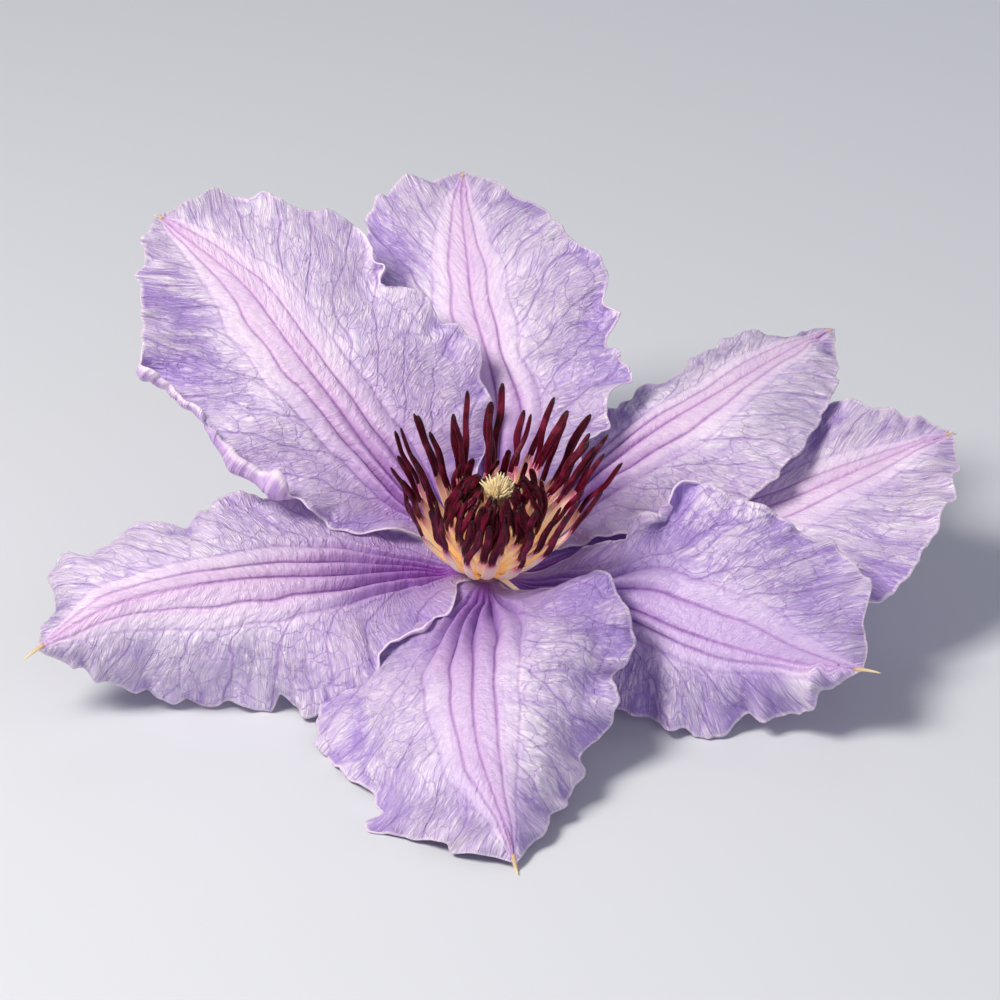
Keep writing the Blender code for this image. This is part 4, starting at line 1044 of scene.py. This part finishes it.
def stem_route():
    """The stalk's middle line from the receptacle's dome to the cut, in the row's frame, and its widths."""
    dome = [(4.6, 1.4), (4.3, 2.6), (3.2, 4.0), (2.0, 4.8), (0.9, 5.0), (0.0, 6.2), (-0.6, 7.6), (-1.6, 5.2),
            (-2.6, 3.2)]
    points = [in_row((0, 0, up)) / MM for up, _ in dome]
    widths = [width for _, width in dome]
    down = math.pi / 2 - LEAN
    start = points[-1]
    for k in range(1, BEND_STEPS + 1):
        angle = down * k / BEND_STEPS
        drop = STEM_BEND * (math.sin(math.pi / 2 - down + angle) - math.sin(math.pi / 2 - down))
        back = STEM_BEND * (math.cos(math.pi / 2 - down) - math.cos(math.pi / 2 - down + angle))
        points.append(start + (0, back, -drop))
        widths.append(2 * STEM_RADIUS)
    points[-1][2] = STEM_RADIUS
    end = points[-1]
    for k in range(1, LYING_STEPS + 1):
        points.append(end + (0, STEM_LYING * k / LYING_STEPS, 0))
        widths.append(2 * STEM_RADIUS)
    return np.array(points), np.array(widths)


def to_flower(points):
    """Points of the row's frame in mm, back in the flower's own frame."""
    x, y, z = points[:, 0] - ORIGIN[0], points[:, 1] - ORIGIN[1], points[:, 2] - ORIGIN[2]
    return np.stack([x, y * math.cos(LEAN) + z * math.sin(LEAN), z * math.cos(LEAN) - y * math.sin(LEAN)],
                    axis=1)


def make_stem(skin, pith, down):
    """The receptacle and stalk with six low ribs, its cut end, and the short down along it."""
    path, widths = stem_route()
    sides = STALK_SIDES
    heading = np.gradient(path, axis=0)
    rings, places = [], []
    for row, (centre, ahead, width) in enumerate(zip(path, heading, widths)):
        ahead = ahead / np.linalg.norm(ahead)
        across = np.array((1.0, 0, 0))
        deep = np.cross(ahead, across)
        turns = 2 * math.pi * np.arange(sides) / sides
        rib = np.cos(turns * STALK_RIBS)
        size = width / 2 * (1 - 0.05 * (1 - rib) * (row >= NECK_RINGS))
        rings.append(centre + np.outer(np.cos(turns) * size, across) + np.outer(np.sin(turns) * size, deep))
        places.append(columns(row / len(path), turns, 0.5 + 0.5 * rib))
    points, faces = shell(rings)
    parts = [(to_flower(points), faces[:-1], np.concatenate(places), 0)]
    end = rings[-1]
    middle = end.mean(axis=0)
    cut = np.concatenate([end, middle + (end - middle) * 0.8 + (0, 0.12, 0), [middle + (0, 0.18, 0)]])
    cut_faces = [(k, (k + 1) % sides, sides + (k + 1) % sides, sides + k) for k in range(sides)]
    cut_faces += [(sides + k, sides + (k + 1) % sides, 2 * sides) for k in range(sides)]
    parts.append((to_flower(cut), cut_faces, np.zeros((len(cut), 3)), 1))
    mesh_piece("stalk", parts, [skin, pith], ["stem"])

    rng = random.Random(5)
    hairs = []
    for _ in range(DOWN_HAIRS):
        row = rng.randrange(NECK_RINGS, len(path) - 1)
        turn = rng.uniform(0, 2 * math.pi)
        ahead = path[row + 1] - path[row]
        ahead = ahead / np.linalg.norm(ahead)
        deep = np.cross(ahead, (1.0, 0, 0))
        side = np.array((1.0, 0, 0)) * math.cos(turn) + deep * math.sin(turn)
        root = path[row] + ahead * rng.random() + side * (STEM_RADIUS - 0.08)
        tip = root + side * rng.uniform(0.3, 0.6) + ahead * rng.uniform(-0.2, 0.35)
        if tip[2] < 0.05:
            continue
        points, faces = loft(np.array([root, (root + tip) / 2, tip]),
                             [(0.05, 0.05), (0.04, 0.04), (0.01, 0.01)], 3, np.cross(side, ahead))
        hairs.append((to_flower(points), faces, np.zeros((len(points), 3)), 0))
    mesh_piece("stalk_down", hairs, [down])


def make_spines(material):
    """The small hard point that each sepal ends in."""
    for name, spec in SEPALS.items():
        middle = rail([*spec["middle"], spec["tip"]], 60)
        ahead = middle[-1] - middle[-4]
        ahead /= np.linalg.norm(ahead)
        share = np.linspace(0, 1, 9)
        path = middle[-1] + np.outer(share * (SPINE_LENGTHS[name] + 1.2) - 1.2, ahead)
        path[:, 2] -= 0.5 * share ** 2
        turn = math.radians(spec["azimuth"])
        resting = in_row(turned(path, spec["azimuth"])) / MM
        resting[:, 2] = np.maximum(resting[:, 2], RESTING)
        path = to_flower(resting)
        size = np.interp(share, [0, 0.35, 0.8, 1], [0.75, 0.62, 0.34, 0.10])
        points, faces = loft(path, zip(size, size * 0.8), SPINE_SIDES, (-math.sin(turn), math.cos(turn), 0))
        place = columns(np.repeat(share, SPINE_SIDES), 0.0, 0.0)
        mesh_piece(name.replace("sepal", "spine"), [(points, faces, place, 0)], [material])


def make_stage():
    """A plain pale floor, soft light from the upper left, and the camera."""
    bpy.ops.mesh.primitive_plane_add(size=6)
    floor = bpy.context.object
    floor.name = "floor"
    material, _, shader = new_material("matt pale floor")
    shader.inputs["Base Color"].default_value = linear("#D3D6DC")
    shader.inputs["Roughness"].default_value = 0.9
    floor.data.materials.append(material)

    # Name, place from the flower's middle in m, size in m, power in W, and colour.
    centre = in_row((0, 0, 8))
    lights = (
        ("key", (-0.38, -0.22, 0.56), 0.26, 5.6, "#FFFAF2"),
        ("fill", (0.35, -0.75, 0.40), 0.70, 1.4, "#F2F0FF"),
        ("back", (0.10, 0.75, 0.55), 0.50, 0.8, "#EAF0FF"),
        ("side", (0.66, 0.10, 0.34), 0.40, 0.7, "#F4EEFF"),
    )
    for name, (x, y, z), size, power, colour in lights:
        data = bpy.data.lights.new(name, "AREA")
        data.size = size
        data.energy = power
        data.color = linear(colour)[:3]
        lamp = bpy.data.objects.new(name, data)
        bpy.context.scene.collection.objects.link(lamp)
        lamp.location = (centre[0] + x, centre[1] + y, centre[2] + z)
        aim(lamp, centre)

    world = bpy.data.worlds.new("studio")
    bpy.context.scene.world = world
    world.use_nodes = True
    world.node_tree.nodes["Background"].inputs["Color"].default_value = linear("#E6EBF7")
    world.node_tree.nodes["Background"].inputs["Strength"].default_value = 0.21
    bpy.context.scene.view_settings.view_transform = "Standard"

    towards = np.array((0, -math.cos(CAMERA_ELEVATION), math.sin(CAMERA_ELEVATION)))
    up = np.array((0, math.sin(CAMERA_ELEVATION), math.cos(CAMERA_ELEVATION)))
    target = in_row((0, 0, 0)) + up * AIM_UP * MM + np.array((AIM_RIGHT * MM, 0, 0))
    data = bpy.data.cameras.new("camera")
    data.lens = CAMERA_LENS
    data.clip_start = 0.01
    camera = bpy.data.objects.new("camera", data)
    bpy.context.scene.collection.objects.link(camera)
    camera.location = target + towards * CAMERA_DISTANCE
    camera.rotation_euler = (math.pi / 2 - CAMERA_ELEVATION, 0, 0)
    bpy.context.scene.camera = camera


def aim(obj, target):
    """Turns a lamp so that it shines at the target."""
    away = Vector(obj.location) - Vector(target)
    obj.rotation_euler = away.to_track_quat("Z", "Y").to_euler()


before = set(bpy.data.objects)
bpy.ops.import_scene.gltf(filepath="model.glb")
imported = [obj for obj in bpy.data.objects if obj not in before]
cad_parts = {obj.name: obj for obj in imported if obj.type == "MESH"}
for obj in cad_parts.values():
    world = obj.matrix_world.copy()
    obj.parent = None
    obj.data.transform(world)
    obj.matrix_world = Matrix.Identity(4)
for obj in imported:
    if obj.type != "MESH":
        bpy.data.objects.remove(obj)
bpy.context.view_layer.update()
bpy.ops.object.select_all(action="DESELECT")

tissue = [petal_upper(), petal_under(), petal_rim_highlight()]
for number, (name, spec) in enumerate(SEPALS.items()):
    sepal(name + "_blade", spec, 10 + 20 * number, tissue)
make_spines(spine_tissue())
stamen_skins = [filament_tissue(), anther_skin()]
make_stamens(stamen_skins)
make_more_stamens(stamen_skins)
make_styles(style_silk())
make_stem(stalk_skin(), cut_pith(), down_hair())
make_stage()
